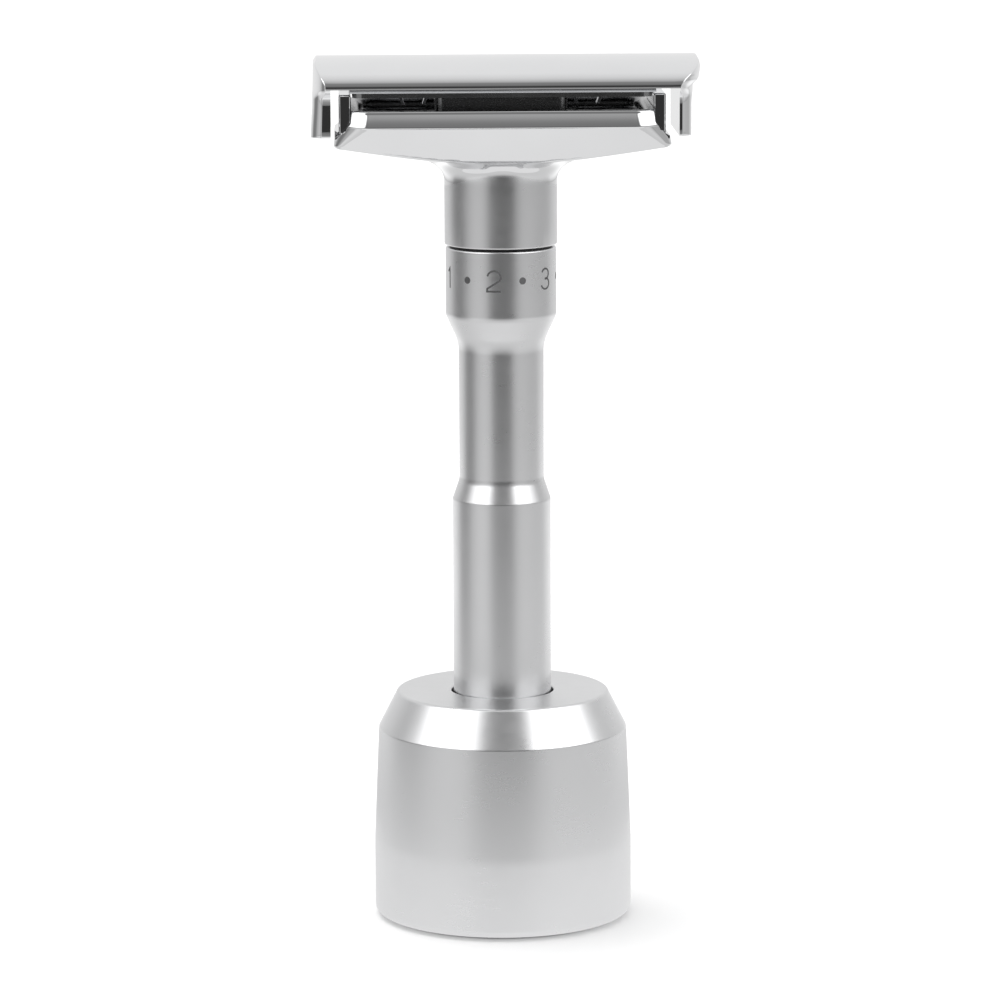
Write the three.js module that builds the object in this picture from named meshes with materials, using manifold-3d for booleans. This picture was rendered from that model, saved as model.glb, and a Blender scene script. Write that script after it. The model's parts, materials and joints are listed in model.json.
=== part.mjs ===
// Adjustable double-edge safety razor standing in its round metal stand.
// Millimetres, +Z up, origin at the bottom centre of the stand, head along X, front towards -Y.

import * as THREE from 'three';
import { mergeVertices } from 'three/addons/utils/BufferGeometryUtils.js';
import Module from 'manifold-3d';

const wasm = await Module();
wasm.setup();

// ---------------------------------------------------------------- driving dimensions

// Fits
const RUNNING_FIT = 0.1; // radial clearance of a shaft that turns or slides in a bore
const LOOSE_FIT = 0.2; // radial clearance of a part dropped into a recess
const PRESS_GAP = 0.05; // modelled gap of a part that is pressed or screwed home
const CONTACT_GAP = 0.02; // modelled gap between faces that rub on each other

// Stand
const STAND_HEIGHT = 29;
const STAND_BASE_RADIUS = 16.3;
const STAND_SHOULDER_STEP = 0.6; // how much the shoulder is narrower than the base
const STAND_BEVEL_WIDTH = 2.4;
const STAND_BEVEL_HEIGHT = 4.7;
const STAND_STRAIGHT_HEIGHT = 10;
const STAND_EDGE_ROUND = 1.5;
const SOCKET_FLOOR = 5;
const SOCKET_CLEARANCE = 0.28;
const SOCKET_LEAD_IN = 0.25;
const SOCKET_PAD_THICKNESS = 0.8;
const FOOT_PAD_MARGIN = 2.1; // from the base's edge to the pad's edge
const FOOT_PAD_THICKNESS = 1.4;
const FOOT_PAD_PROUD = 0.4;

// Adjusting screw and the tube it runs in
const SPINDLE_RADIUS = 2;
const SPINDLE_SLEEVE_WALL = 1.4;
const SPINDLE_TAIL = 1; // spindle end below the stop nut
const ADJUSTER_NUT_LENGTH = 8;
const ADJUSTER_NUT_DROP = 10; // from the web down to the nut
const ADJUSTER_SLOT = 1.2;
const STOP_NUT_LENGTH = 3;
const STOP_NUT_GAP = 1;
const STOP_NUT_WALL = 1.4;

// Handle
const HANDLE_REST_GAP = 0.3; // handle end above the socket pad
const RETAINER_SHELF = 0.7; // step in the handle that the retaining washer bears on
const HANDLE_WALL = 1.02; // at the waist
const GRIP_STEP = 0.85; // grip radius over waist radius
const DIAL_STEP = 1.6; // dial radius over waist radius
const DIAL_WALL = 1.52;
const GRIP_LENGTH = 47.3;
const GRIP_COVE = 2.7;
const WAIST_LENGTH = 17.3;
const DIAL_COVE = 3.5;
const DIAL_HEIGHT = 8.6;
const DIAL_EDGE = 0.25;
const BOSS_BORE_DEPTH = 7.5;
const WEB_THICKNESS = 10;

// Handle end plug
const PLUG_FLANGE = 1;
const PLUG_FLANGE_STEP = 1.05;
const PLUG_LENGTH = 5.9;
const PLUG_SLOT_WIDTH = 1.4;
const PLUG_SLOT_DEPTH = 1.3;
const PLUG_GROOVE_HEIGHT = 1.9; // seal groove centre above the handle's end
const PLUG_SEAL_SECTION = 0.42; // section radius of the seal

// Joint between handle and neck
const WASHER_THICKNESS = 0.26;
const WASHER_INSET = 0.5; // washer rim inside the dial's edge
const BOSS_LENGTH = 7.3;
const O_RING_SECTION = 0.5;
const O_RING_DROP = 3.4; // below the neck's lower face
const RETAINING_WASHER_THICKNESS = 0.7;
const CLIP_THICKNESS = 0.6;
const CLIP_GROOVE_DEPTH = 0.5;
const CLIP_MOUTH = 2.4;

// Neck and guard
const NECK_STEP = 0.13; // neck radius over dial radius
const NECK_EDGE = 0.2;
const NECK_LENGTH = 9;
const NECK_FLARE = 2.3;
const GUARD_SIDE_HEIGHT = 4.3; // flare to the band's lower edge
const GUARD_BAND_HEIGHT = 2;
const GUARD_REACH = 1.1; // guard bar past the blade's edge
const GUARD_BAR = 2.3; // width of the bar at the band's lower edge
const GUARD_TOP_INSET = 1;
const GUARD_FOOT_INSET = 2.4;
const GUARD_END_INSET = 0.7; // guard's foot inside the blade's end
const GUARD_END_LEAN = 2.2;
const GUARD_KEEL_RISE = 1.5; // how much the underside climbs from the neck to the ends
const GUARD_CORNER = 3.6; // plan corner at the band
const GUARD_FOOT_CORNER = 0.9; // plan corner at the foot
const GUARD_END_WALL = 1; // tray's end to the guard's end at the top
const EAR_LENGTH = 1.5; // raised plate on each end of the guard
const EAR_WIDTH = 15.6;
const EAR_HEIGHT = 1.8;
const EAR_DEPTH = 3.8; // from the guard's top down to the plate's lower end
const EAR_GAP = 0.15; // bed's end to the plate
const TRAY_CORNER = 1.5;
const TRAY_DEPTH = 1.5;
const NECK_SPREAD = 1.9; // neck's gain in half-width along X over its flare
const KEEL_OVERLAP = 0.3; // keel starts below the top of the flare
const GUARD_FOOT_RISE = 1.3; // foot level above the neck's flare
const GUARD_FOOT_EDGE = 0.5; // height of the foot's lower edge
const GUARD_FOOT_STEP = 0.35; // end's step-in at each level around the foot
const GUARD_FOOT_SPREAD = 0.7;
const GUARD_BAND_BLEND = 0.9; // side passes into the band over this height
const GUARD_BAND_ROUND = 0.4;
const DRAIN_START = 1.7; // drain slot from the hub's end
const DRAIN_LENGTH = 4.1;
const DRAIN_WIDTH = 2;
const DRAIN_EDGE = 0.7; // from the tray's side to the drain's pocket
const DRAIN_POCKET = 2.2; // depth of the pocket under the tray's floor
const DRAIN_SETBACK = 1; // through slot behind the pocket's outer edge
const SPRING_BORE_DEPTH = 9.5;
const SPRING_FLOOR_HEIGHT = 1.2; // spring bore floor above the neck's lower face

// Blade
const BLADE_LENGTH = 43;
const BLADE_HALF_CHORD = 10.785;
const BLADE_THICKNESS = 0.1;
const BLADE_BEND_RADIUS = 32;
const BLADE_NOTCH_LENGTH = 2.7;
const BLADE_NOTCH_WIDTH = 4.2;
const BLADE_SLOT_LENGTH = 33;
const BLADE_SLOT_WIDTH = 3.4;
const BLADE_HOLE_RADIUS = 3.1;
const BEND_STEP = THREE.MathUtils.degToRad(2.5); // facet angle shared by bed, blade and cap

// Blade bed
const BED_TOP_LIFT = 4; // bed's crown above the guard's top edge
const BED_CLEARANCE = 1.5; // bed's underside above the guard's top edge
const BED_END_INSET = 3;
const BED_SIDE_INSET = 1.385;
const BED_CORNER = 1.5;
const BED_TRAVEL_DOWN = 0.8;
const HUB_LENGTH = 16.4;
const HUB_WIDTH = 9;
const BOSS_RADIUS = 5.2;
const BOSS_FLAT = 4.1; // half-distance across the boss's flats
const BOSS_ENGAGEMENT = 3.4; // boss reach into the guard's well
const WELL_CLEARANCE = 0.35;
const LUG_LENGTH = 2.2;
const LUG_END_GAP = 0.3; // lug to the end of the blade's slot
const LUG_HEIGHT = 0.5;
const SCREW_RADIUS = 1;
const SCREW_HEAD_RADIUS = 2.3;
const SCREW_HEAD_HEIGHT = 1.4;
const SCREW_SINK = 0.2; // screw head below the bed's crown
const SCREW_LENGTH = 7;
const SCREW_SLOT_WIDTH = 0.6;
const SCREW_SLOT_DEPTH = 0.5;
const SPINDLE_CHAMFER = 0.4;
const SPINDLE_SHOULDER = 2.5; // spindle end below the bed's crown

// Spring under the bed
const SPRING_WIRE = 0.7;
const SPRING_CLEARANCE = 0.4; // around the spindle
const SPRING_TURNS = 5.5;
const SPRING_WASHER_THICKNESS = 0.4;

// Cap
const CAP_CROWN = 1.8; // metal over the blade at the crown
const CAP_LIP_INSET = 0.635; // lip behind the blade's edge
const CAP_LIP_HEIGHT = 0.3;
const CAP_END_CLEARANCE = 0.3; // blade's end to the end wall
const CAP_WALL = 1.6;
const CAP_BULGE = 1.3; // right end's bulge past its end wall
const CAP_SPLAY = 0.25; // left end wall's foot past its straight face
const CAP_WALL_DROP = 6.06; // end wall below the lip
const CAP_WALL_INSET = 1.65; // end wall behind the lip
const CAP_CORNER = 3;
const CAP_WALL_CORNER = 1.2;
const CAP_LIP_BLEND = 1.1; // height over which the end wall passes into the lip
const CAP_LIP_STEP = 0.75;
const CAP_BULGE_HEIGHT = 1.5; // widest level above the dome's base
const CAP_END_ROUND = 0.6;
const CAP_DOME_STEPS = 20;

// Spring clips under the cap
const CLIP_HALF_WIDTH = 1.6;
const CLIP_STRIP = 0.4;
const CLIP_DEPTH = 2.2;
const CLIP_PRONG = 3.7;
const CLIP_BELLY = 0.35;
const CLIP_SEAT = 0.1; // strip's top below the cap's underside
const CLIP_WALL = 0.5; // bed metal between hub and clip socket
const RIVET_RADIUS = 0.8;
const RIVET_HEAD_RADIUS = 1.05;
const RIVET_HEAD_HEIGHT = 0.3;
const RIVET_LENGTH = 1; // into the cap

// Roundness
const FINE = 48;
const MEDIUM = 32;
const SMALL = 20;
const CORNER_STEPS = 7;

// ---------------------------------------------------------------- derived sizes and heights

const sleeveRadius = SPINDLE_RADIUS + RUNNING_FIT + SPINDLE_SLEEVE_WALL;
const webBoreRadius = sleeveRadius + RUNNING_FIT;
const handleBoreRadius = webBoreRadius + RETAINER_SHELF;
const waistRadius = handleBoreRadius + HANDLE_WALL;
const gripRadius = waistRadius + GRIP_STEP;
const dialRadius = waistRadius + DIAL_STEP;
const bossBoreRadius = dialRadius - DIAL_WALL;
const spigotRadius = bossBoreRadius - LOOSE_FIT;
const neckRadius = dialRadius + NECK_STEP;
const socketRadius = gripRadius + SOCKET_CLEARANCE;

const handleBottom = SOCKET_FLOOR + SOCKET_PAD_THICKNESS + HANDLE_REST_GAP;
const gripTop = handleBottom + GRIP_LENGTH;
const waistBottom = gripTop + GRIP_COVE;
const waistTop = waistBottom + WAIST_LENGTH;
const dialBottom = waistTop + DIAL_COVE;
const handleTop = dialBottom + DIAL_HEIGHT;
const webTop = handleTop - BOSS_BORE_DEPTH;
const webBottom = webTop - WEB_THICKNESS;
const adjusterTop = webBottom - ADJUSTER_NUT_DROP;
const adjusterBottom = adjusterTop - ADJUSTER_NUT_LENGTH;
const stopNutTop = adjusterBottom - STOP_NUT_GAP;
const stopNutBottom = stopNutTop - STOP_NUT_LENGTH;

const washerBottom = handleTop + CONTACT_GAP;
const neckBottom = washerBottom + WASHER_THICKNESS + CONTACT_GAP;
const neckTop = neckBottom + NECK_LENGTH;
const flareTop = neckTop + NECK_FLARE;
const bandBottom = flareTop + GUARD_SIDE_HEIGHT;
const guardTop = bandBottom + GUARD_BAND_HEIGHT;
const trayFloor = guardTop - TRAY_DEPTH;
const springFloor = neckBottom + SPRING_FLOOR_HEIGHT;
const springBoreTop = springFloor + SPRING_BORE_DEPTH;
const retainingWasherTop = webBottom - CONTACT_GAP;
const clipGrooveTop = retainingWasherTop - RETAINING_WASHER_THICKNESS - CONTACT_GAP;
const clipGrooveBottom = clipGrooveTop - CLIP_THICKNESS - RUNNING_FIT;
const spigotBottom = clipGrooveBottom - 1;

const bedCrown = guardTop + BED_TOP_LIFT;
const bedUnderside = guardTop + BED_CLEARANCE;
const bendCentre = bedCrown - BLADE_BEND_RADIUS;
const bladeInnerRadius = BLADE_BEND_RADIUS + PRESS_GAP;
const bladeOuterRadius = bladeInnerRadius + BLADE_THICKNESS;
const capInnerRadius = bladeOuterRadius + PRESS_GAP;
const bedBossBottom = trayFloor - BOSS_ENGAGEMENT;
const wellBottom = springBoreTop;
const wellRadius = BOSS_RADIUS + WELL_CLEARANCE;
const hubBottom = trayFloor + BED_TRAVEL_DOWN + RUNNING_FIT;
const spindleTop = bedCrown - SPINDLE_SHOULDER;
const springMeanRadius = SPINDLE_RADIUS + SPRING_CLEARANCE + SPRING_WIRE / 2;

const bladeHalfLength = BLADE_LENGTH / 2;
const capInnerHalf = bladeHalfLength + CAP_END_CLEARANCE;
const capWallHalf = capInnerHalf + CAP_WALL;
const capLipHalf = BLADE_HALF_CHORD - CAP_LIP_INSET;
const capLipBottom = bendCentre + Math.sqrt(capInnerRadius ** 2 - capLipHalf ** 2);
const capDomeBase = capLipBottom + CAP_LIP_HEIGHT;
const capCrown = bendCentre + capInnerRadius + CAP_CROWN;
const capWallBottom = capLipBottom - CAP_WALL_DROP;

const clipSocketInner = HUB_LENGTH / 2 + CLIP_WALL;
const clipHalfSpan = CLIP_HALF_WIDTH + CLIP_BELLY;
const clipCentre = clipSocketInner + LOOSE_FIT + clipHalfSpan;
const clipSocketOuter = clipCentre + clipHalfSpan + LOOSE_FIT;
const clipTop = bendCentre + capInnerRadius - CLIP_SEAT;
const clipStripBottom = clipTop - CLIP_STRIP;
const lugInner = BLADE_SLOT_LENGTH / 2 - LUG_END_GAP - LUG_LENGTH;
const lugHalfWidth = BLADE_SLOT_WIDTH / 2 - LOOSE_FIT;

// ---------------------------------------------------------------- solid-making helpers

// Turns a closed three.js geometry into a solid for cutting and joining.
function solid(geometry) {
  const bare = new THREE.BufferGeometry();
  bare.setAttribute('position', geometry.getAttribute('position'));
  bare.setIndex(geometry.index);
  const merged = mergeVertices(bare, 1e-4);
  const index = merged.index.array;
  const triangles = [];
  for (let i = 0; i < index.length; i += 3) {
    const [a, b, c] = [index[i], index[i + 1], index[i + 2]];
    if (a !== b && b !== c && c !== a) triangles.push(a, b, c);
  }
  return new wasm.Manifold(new wasm.Mesh({
    numProp: 3,
    vertProperties: new Float32Array(merged.getAttribute('position').array),
    triVerts: new Uint32Array(triangles),
  }));
}

// Solid of revolution about Z. The [radius, height] outline runs up the outside.
function turned(outline, segments) {
  const points = outline.map(([radius, height]) => new THREE.Vector2(radius, height));
  return solid(new THREE.LatheGeometry(points, segments).rotateX(Math.PI / 2));
}

// Ring of revolution: the outline closes on itself.
function turnedRing(outline, segments) {
  return turned([...outline, outline[0]], segments);
}

// Plain cylinder between two heights.
function rod(radius, bottom, top, segments, x = 0) {
  return turned([[0, bottom], [radius, bottom], [radius, top], [0, top]], segments).translate([x, 0, 0]);
}

// Straight-sided washer.
function washer(inner, outer, bottom, top, segments) {
  return turnedRing([[inner, bottom], [outer, bottom], [outer, top], [inner, top]], segments);
}

// Ring with a round section, such as a seal.
function roundRing(meanRadius, sectionRadius, height, segments) {
  const outline = [];
  for (let i = 0; i < 8; i += 1) {
    const angle = (i / 8) * 2 * Math.PI;
    outline.push([meanRadius + sectionRadius * Math.cos(angle), height + sectionRadius * Math.sin(angle)]);
  }
  return turnedRing(outline, segments);
}

// Box given by its low and high corners.
function block([x0, y0, z0], [x1, y1, z1]) {
  const box = new THREE.BoxGeometry(x1 - x0, y1 - y0, z1 - z0);
  return solid(box.translate((x0 + x1) / 2, (y0 + y1) / 2, (z0 + z1) / 2));
}

// Prism along X, centred on the origin, from a [y, z] outline.
function prismAlongX(outline, length) {
  const shape = new THREE.Shape(outline.map(([y, z]) => new THREE.Vector2(y, z)));
  const geometry = new THREE.ExtrudeGeometry(shape, { depth: length, bevelEnabled: false });
  geometry.translate(0, 0, -length / 2);
  const toX = new THREE.Matrix4().makeBasis(
    new THREE.Vector3(0, 1, 0), new THREE.Vector3(0, 0, 1), new THREE.Vector3(1, 0, 0),
  );
  return solid(geometry.applyMatrix4(toX));
}

// Prism along Y, centred on the origin, from an [x, z] outline.
function prismAlongY(outline, length) {
  const shape = new THREE.Shape(outline.map(([x, z]) => new THREE.Vector2(x, z)));
  const geometry = new THREE.ExtrudeGeometry(shape, { depth: length, bevelEnabled: false });
  return solid(geometry.translate(0, 0, -length / 2).rotateX(Math.PI / 2));
}

// One level of a loft: a rectangle with round corners, as [x, y, z] points.
function roundedLevel(halfX, halfY, corner, z, centreX = 0) {
  const points = [];
  const signs = [[1, 1], [-1, 1], [-1, -1], [1, -1]];
  signs.forEach(([sx, sy], quarter) => {
    for (let i = 0; i <= CORNER_STEPS; i += 1) {
      const angle = (quarter + i / CORNER_STEPS) * (Math.PI / 2);
      const x = centreX + sx * (halfX - corner) + corner * Math.cos(angle);
      const y = sy * (halfY - corner) + corner * Math.sin(angle);
      points.push([x, y, z]);
    }
  });
  return points;
}

// Closed skin through levels of equal point count, from the lowest to the highest.
function loft(levels) {
  const count = levels[0].length;
  const last = (levels.length - 1) * count;
  const index = [];
  for (let level = 0; level < levels.length - 1; level += 1) {
    for (let i = 0; i < count; i += 1) {
      const a = level * count + i;
      const b = level * count + ((i + 1) % count);
      index.push(a, b, b + count, a, b + count, a + count);
    }
  }
  for (let i = 1; i < count - 1; i += 1) {
    index.push(0, i + 1, i);
    index.push(last, last + i, last + i + 1);
  }
  const geometry = new THREE.BufferGeometry();
  geometry.setAttribute('position', new THREE.Float32BufferAttribute(levels.flat(2), 3));
  geometry.setIndex(index);
  return solid(geometry);
}

// Prism along Z with round corners.
function pad(halfX, halfY, corner, bottom, top) {
  return loft([roundedLevel(halfX, halfY, corner, bottom), roundedLevel(halfX, halfY, corner, top)]);
}

// Points of the bend shared by bed, blade and cap, from front to back.
function bendArc(radius) {
  const points = [];
  for (let i = -10; i <= 10; i += 1) {
    const angle = i * BEND_STEP;
    points.push([radius * Math.sin(angle), bendCentre + radius * Math.cos(angle)]);
  }
  return points;
}

function mirrored(piece) {
  return piece.mirror([1, 0, 0]);
}

// ---------------------------------------------------------------- materials

const finish = (color, roughness, metalness) => ({ color, roughness, metalness });
const POLISHED_CHROME = finish(0xd9dbde, 0.08, 1);
const SATIN_CHROME = finish(0xb9bcc0, 0.34, 1);
const BLACK_RUBBER = finish(0x1b1b1d, 0.85, 0);
const BRASS = finish(0xb08d4f, 0.35, 1);
const SPRING_STEEL = finish(0x8f9398, 0.4, 1);
const BLADE_STEEL = finish(0xc3c6ca, 0.25, 1);
const PLASTIC = finish(0x2a2a2c, 0.6, 0);

const razor = new THREE.Group();

// Adds one finished solid to the model as its own named mesh.
function add(name, piece, look) {
  const { vertProperties, triVerts } = piece.getMesh();
  const geometry = new THREE.BufferGeometry();
  geometry.setAttribute('position', new THREE.BufferAttribute(vertProperties, 3));
  geometry.setIndex(new THREE.BufferAttribute(triVerts, 1));
  geometry.computeVertexNormals();
  const mesh = new THREE.Mesh(geometry, new THREE.MeshStandardMaterial(look));
  mesh.name = name;
  razor.add(mesh);
}

// ---------------------------------------------------------------- stand

function standBody() {
  const bottom = FOOT_PAD_PROUD;
  const recessRadius = STAND_BASE_RADIUS - FOOT_PAD_MARGIN + LOOSE_FIT;
  const shoulder = STAND_BASE_RADIUS - STAND_SHOULDER_STEP;
  const outline = [
    [0, FOOT_PAD_THICKNESS],
    [recessRadius, FOOT_PAD_THICKNESS],
    [recessRadius, bottom],
  ];
  for (let i = 0; i <= 4; i += 1) {
    const angle = (i / 4) * (Math.PI / 2);
    outline.push([
      STAND_BASE_RADIUS - STAND_EDGE_ROUND * (1 - Math.sin(angle)),
      bottom + STAND_EDGE_ROUND * (1 - Math.cos(angle)),
    ]);
  }
  outline.push(
    [STAND_BASE_RADIUS, STAND_STRAIGHT_HEIGHT],
    [shoulder, STAND_HEIGHT - STAND_BEVEL_HEIGHT],
    [shoulder - STAND_BEVEL_WIDTH, STAND_HEIGHT],
    [socketRadius + SOCKET_LEAD_IN, STAND_HEIGHT],
    [socketRadius, STAND_HEIGHT - SOCKET_LEAD_IN],
    [socketRadius, SOCKET_FLOOR],
    [0, SOCKET_FLOOR],
  );
  return turned(outline, FINE);
}

add('stand_body', standBody(), SATIN_CHROME);
add('stand_foot_pad', turned([
  [0, 0],
  [STAND_BASE_RADIUS - FOOT_PAD_MARGIN - 0.3, 0],
  [STAND_BASE_RADIUS - FOOT_PAD_MARGIN, 0.3],
  [STAND_BASE_RADIUS - FOOT_PAD_MARGIN, FOOT_PAD_THICKNESS],
  [0, FOOT_PAD_THICKNESS],
], FINE), BLACK_RUBBER);
add('socket_pad', rod(
  socketRadius - LOOSE_FIT, SOCKET_FLOOR, SOCKET_FLOOR + SOCKET_PAD_THICKNESS, MEDIUM,
), BLACK_RUBBER);

// ---------------------------------------------------------------- handle

// Concave quarter between two radii, as an outline stretch from the lower to the upper height.
function cove(fromRadius, toRadius, bottom, height) {
  const points = [];
  for (let i = 0; i <= 5; i += 1) {
    const t = i / 5;
    const ease = t * t * (3 - 2 * t);
    points.push([fromRadius + (toRadius - fromRadius) * ease, bottom + height * t]);
  }
  return points;
}

const plugFlangeRadius = handleBoreRadius + PLUG_FLANGE_STEP;

function handleSleeve() {
  return turnedRing([
    [plugFlangeRadius + PRESS_GAP, handleBottom],
    [gripRadius - DIAL_EDGE, handleBottom],
    [gripRadius, handleBottom + DIAL_EDGE],
    ...cove(gripRadius, waistRadius, gripTop, GRIP_COVE),
    ...cove(waistRadius, dialRadius, waistTop, DIAL_COVE),
    [dialRadius, handleTop - DIAL_EDGE],
    [dialRadius - DIAL_EDGE, handleTop],
    [bossBoreRadius, handleTop],
    [bossBoreRadius, webTop],
    [webBoreRadius, webTop],
    [webBoreRadius, webBottom],
    [handleBoreRadius, webBottom],
    [handleBoreRadius, handleBottom + PLUG_FLANGE + CONTACT_GAP],
    [plugFlangeRadius + PRESS_GAP, handleBottom + PLUG_FLANGE + CONTACT_GAP],
  ], FINE);
}

function adjusterNut() {
  const outer = handleBoreRadius - PRESS_GAP;
  const body = washer(SPINDLE_RADIUS + RUNNING_FIT, outer, adjusterBottom, adjusterTop, MEDIUM);
  const half = ADJUSTER_SLOT / 2;
  return body.subtract(block([-outer - 1, -half, adjusterBottom - 1], [outer + 1, half, adjusterBottom + 1]));
}

function endPlug() {
  const stem = handleBoreRadius - PRESS_GAP;
  const grooveRadius = stem - 2 * PLUG_SEAL_SECTION;
  const grooveCentre = handleBottom + PLUG_GROOVE_HEIGHT;
  const grooveHalf = PLUG_SEAL_SECTION + PRESS_GAP;
  const body = turned([
    [0, handleBottom],
    [plugFlangeRadius, handleBottom],
    [plugFlangeRadius, handleBottom + PLUG_FLANGE],
    [stem, handleBottom + PLUG_FLANGE],
    [stem, grooveCentre - grooveHalf],
    [grooveRadius - PRESS_GAP, grooveCentre - grooveHalf],
    [grooveRadius - PRESS_GAP, grooveCentre + grooveHalf],
    [stem, grooveCentre + grooveHalf],
    [stem, handleBottom + PLUG_LENGTH],
    [0, handleBottom + PLUG_LENGTH],
  ], MEDIUM);
  const half = PLUG_SLOT_WIDTH / 2;
  return body.subtract(block(
    [-plugFlangeRadius + 1, -half, handleBottom - 1],
    [plugFlangeRadius - 1, half, handleBottom + PLUG_SLOT_DEPTH],
  ));
}

add('handle_sleeve', handleSleeve(), SATIN_CHROME);
add('adjuster_nut', adjusterNut(), BRASS);
add('handle_end_plug', endPlug(), SATIN_CHROME);
add('end_plug_seal', roundRing(
  handleBoreRadius - PRESS_GAP - PLUG_SEAL_SECTION, PLUG_SEAL_SECTION - PRESS_GAP,
  handleBottom + PLUG_GROOVE_HEIGHT, MEDIUM,
), BLACK_RUBBER);
add('dial_washer', washer(
  spigotRadius + PRESS_GAP, dialRadius - WASHER_INSET, washerBottom, washerBottom + WASHER_THICKNESS, MEDIUM,
), PLASTIC);

// ---------------------------------------------------------------- guard, neck and spigot

const bedHalfX = bladeHalfLength - BED_END_INSET;
const guardFootX = bladeHalfLength - GUARD_END_INSET;
const guardTopX = guardFootX - GUARD_END_LEAN;
const guardBarY = BLADE_HALF_CHORD + GUARD_REACH;
const guardFootY = guardBarY - GUARD_FOOT_INSET;
const trayHalfX = guardTopX - GUARD_END_WALL;
const trayHalfY = guardBarY - GUARD_BAR;
const oRingHeight = neckBottom - O_RING_DROP;
const oRingRadius = bossBoreRadius - O_RING_SECTION - CONTACT_GAP;

// Outer skin: round neck, keel-shaped underside, sides that lean out to the band, and the band.
function guardShell() {
  const foot = flareTop + GUARD_FOOT_RISE;
  const lean = GUARD_FOOT_INSET / (bandBottom - foot);
  const sideY = (z) => guardFootY + lean * (z - foot);
  const flareAt = (share) => neckTop + share * NECK_FLARE;
  const keelStart = flareTop - KEEL_OVERLAP;
  const keelEnd = flareTop + GUARD_KEEL_RISE;
  const footEdge = keelEnd + GUARD_FOOT_EDGE;
  const footSpread = footEdge + GUARD_FOOT_SPREAD;
  const bandBlend = bandBottom - GUARD_BAND_BLEND;
  const bandRound = guardTop - GUARD_BAND_ROUND;
  return loft([
    roundedLevel(neckRadius - NECK_EDGE, neckRadius - NECK_EDGE, neckRadius - NECK_EDGE, neckBottom),
    roundedLevel(neckRadius, neckRadius, neckRadius, neckBottom + NECK_EDGE),
    roundedLevel(neckRadius, neckRadius, neckRadius, neckTop),
    roundedLevel(neckRadius + 0.15 * NECK_SPREAD, neckRadius + 0.1 * NECK_SPREAD, neckRadius, flareAt(0.35)),
    roundedLevel(neckRadius + 0.65 * NECK_SPREAD, neckRadius + 0.3 * NECK_SPREAD, neckRadius, flareAt(0.65)),
    roundedLevel(neckRadius + NECK_SPREAD, sideY(keelStart), neckRadius, keelStart),
    roundedLevel(guardFootX - 2 * GUARD_FOOT_STEP, sideY(keelEnd), GUARD_FOOT_CORNER, keelEnd),
    roundedLevel(guardFootX, sideY(footEdge), GUARD_FOOT_CORNER + GUARD_FOOT_EDGE, footEdge),
    roundedLevel(guardFootX - GUARD_FOOT_STEP, sideY(footSpread), GUARD_FOOT_CORNER + 1.1, footSpread),
    roundedLevel(guardFootX - 2.2 * GUARD_FOOT_STEP, sideY(bandBlend), GUARD_CORNER - 0.6, bandBlend),
    roundedLevel(guardTopX + GUARD_BAND_ROUND, guardBarY, GUARD_CORNER, bandBottom),
    roundedLevel(guardTopX + 0.2, guardBarY - 0.4 * GUARD_TOP_INSET, GUARD_CORNER - 0.1, bandRound),
    roundedLevel(guardTopX, guardBarY - GUARD_TOP_INSET, GUARD_CORNER - 0.3, guardTop),
  ]);
}

// Tube below the neck that the handle turns on, with its seal and clip grooves.
function spigot() {
  const bossBottom = neckBottom - BOSS_LENGTH;
  const grooveHalf = O_RING_SECTION + PRESS_GAP;
  const oRingFloor = oRingRadius - O_RING_SECTION - CONTACT_GAP;
  const clipFloor = sleeveRadius - CLIP_GROOVE_DEPTH;
  return turned([
    [0, spigotBottom],
    [sleeveRadius, spigotBottom],
    [sleeveRadius, clipGrooveBottom],
    [clipFloor, clipGrooveBottom],
    [clipFloor, clipGrooveTop],
    [sleeveRadius, clipGrooveTop],
    [sleeveRadius, bossBottom],
    [spigotRadius, bossBottom],
    [spigotRadius, oRingHeight - grooveHalf],
    [oRingFloor, oRingHeight - grooveHalf],
    [oRingFloor, oRingHeight + grooveHalf],
    [spigotRadius, oRingHeight + grooveHalf],
    [spigotRadius, neckBottom + 0.5],
    [0, neckBottom + 0.5],
  ], MEDIUM);
}

// Well for the bed's boss: a circle with two flats, so that the bed cannot turn.
function doubleD(radius, flat, bottom, top) {
  const slab = block([-radius - 1, -flat, bottom - 1], [radius + 1, flat, top + 1]);
  return rod(radius, bottom, top, MEDIUM).intersect(slab);
}

function guardBody() {
  const drainStart = HUB_LENGTH / 2 + DRAIN_START;
  const drainFar = trayHalfY - DRAIN_EDGE;
  const ear = block(
    [bedHalfX + EAR_GAP, -EAR_WIDTH / 2, guardTop - EAR_DEPTH],
    [bedHalfX + EAR_GAP + EAR_LENGTH, EAR_WIDTH / 2, guardTop + EAR_HEIGHT],
  );
  let body = guardShell().add(spigot()).add(ear).add(mirrored(ear));
  body = body.subtract(pad(trayHalfX, trayHalfY, TRAY_CORNER, trayFloor, guardTop + 1));
  body = body.subtract(doubleD(wellRadius, BOSS_FLAT + WELL_CLEARANCE, wellBottom, trayFloor + 1));
  const springBoreRadius = springMeanRadius + SPRING_WIRE / 2 + LOOSE_FIT;
  body = body.subtract(rod(springBoreRadius, springFloor, wellBottom + 1, MEDIUM));
  body = body.subtract(rod(SPINDLE_RADIUS + LOOSE_FIT, spigotBottom - 1, springFloor + 1, MEDIUM));
  for (const sx of [-1, 1]) {
    for (const sy of [-1, 1]) {
      const x = [sx * drainStart, sx * (drainStart + DRAIN_LENGTH)].sort((a, b) => a - b);
      const pocket = [sy * drainFar, sy * (drainFar - DRAIN_WIDTH)].sort((a, b) => a - b);
      const slot = pocket.map((y) => y - sy * DRAIN_SETBACK);
      body = body.subtract(block([x[0], pocket[0], trayFloor - DRAIN_POCKET], [x[1], pocket[1], guardTop]));
      body = body.subtract(block([x[0], slot[0], neckTop], [x[1], slot[1], trayFloor - DRAIN_POCKET + 1]));
    }
  }
  return body;
}

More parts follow.
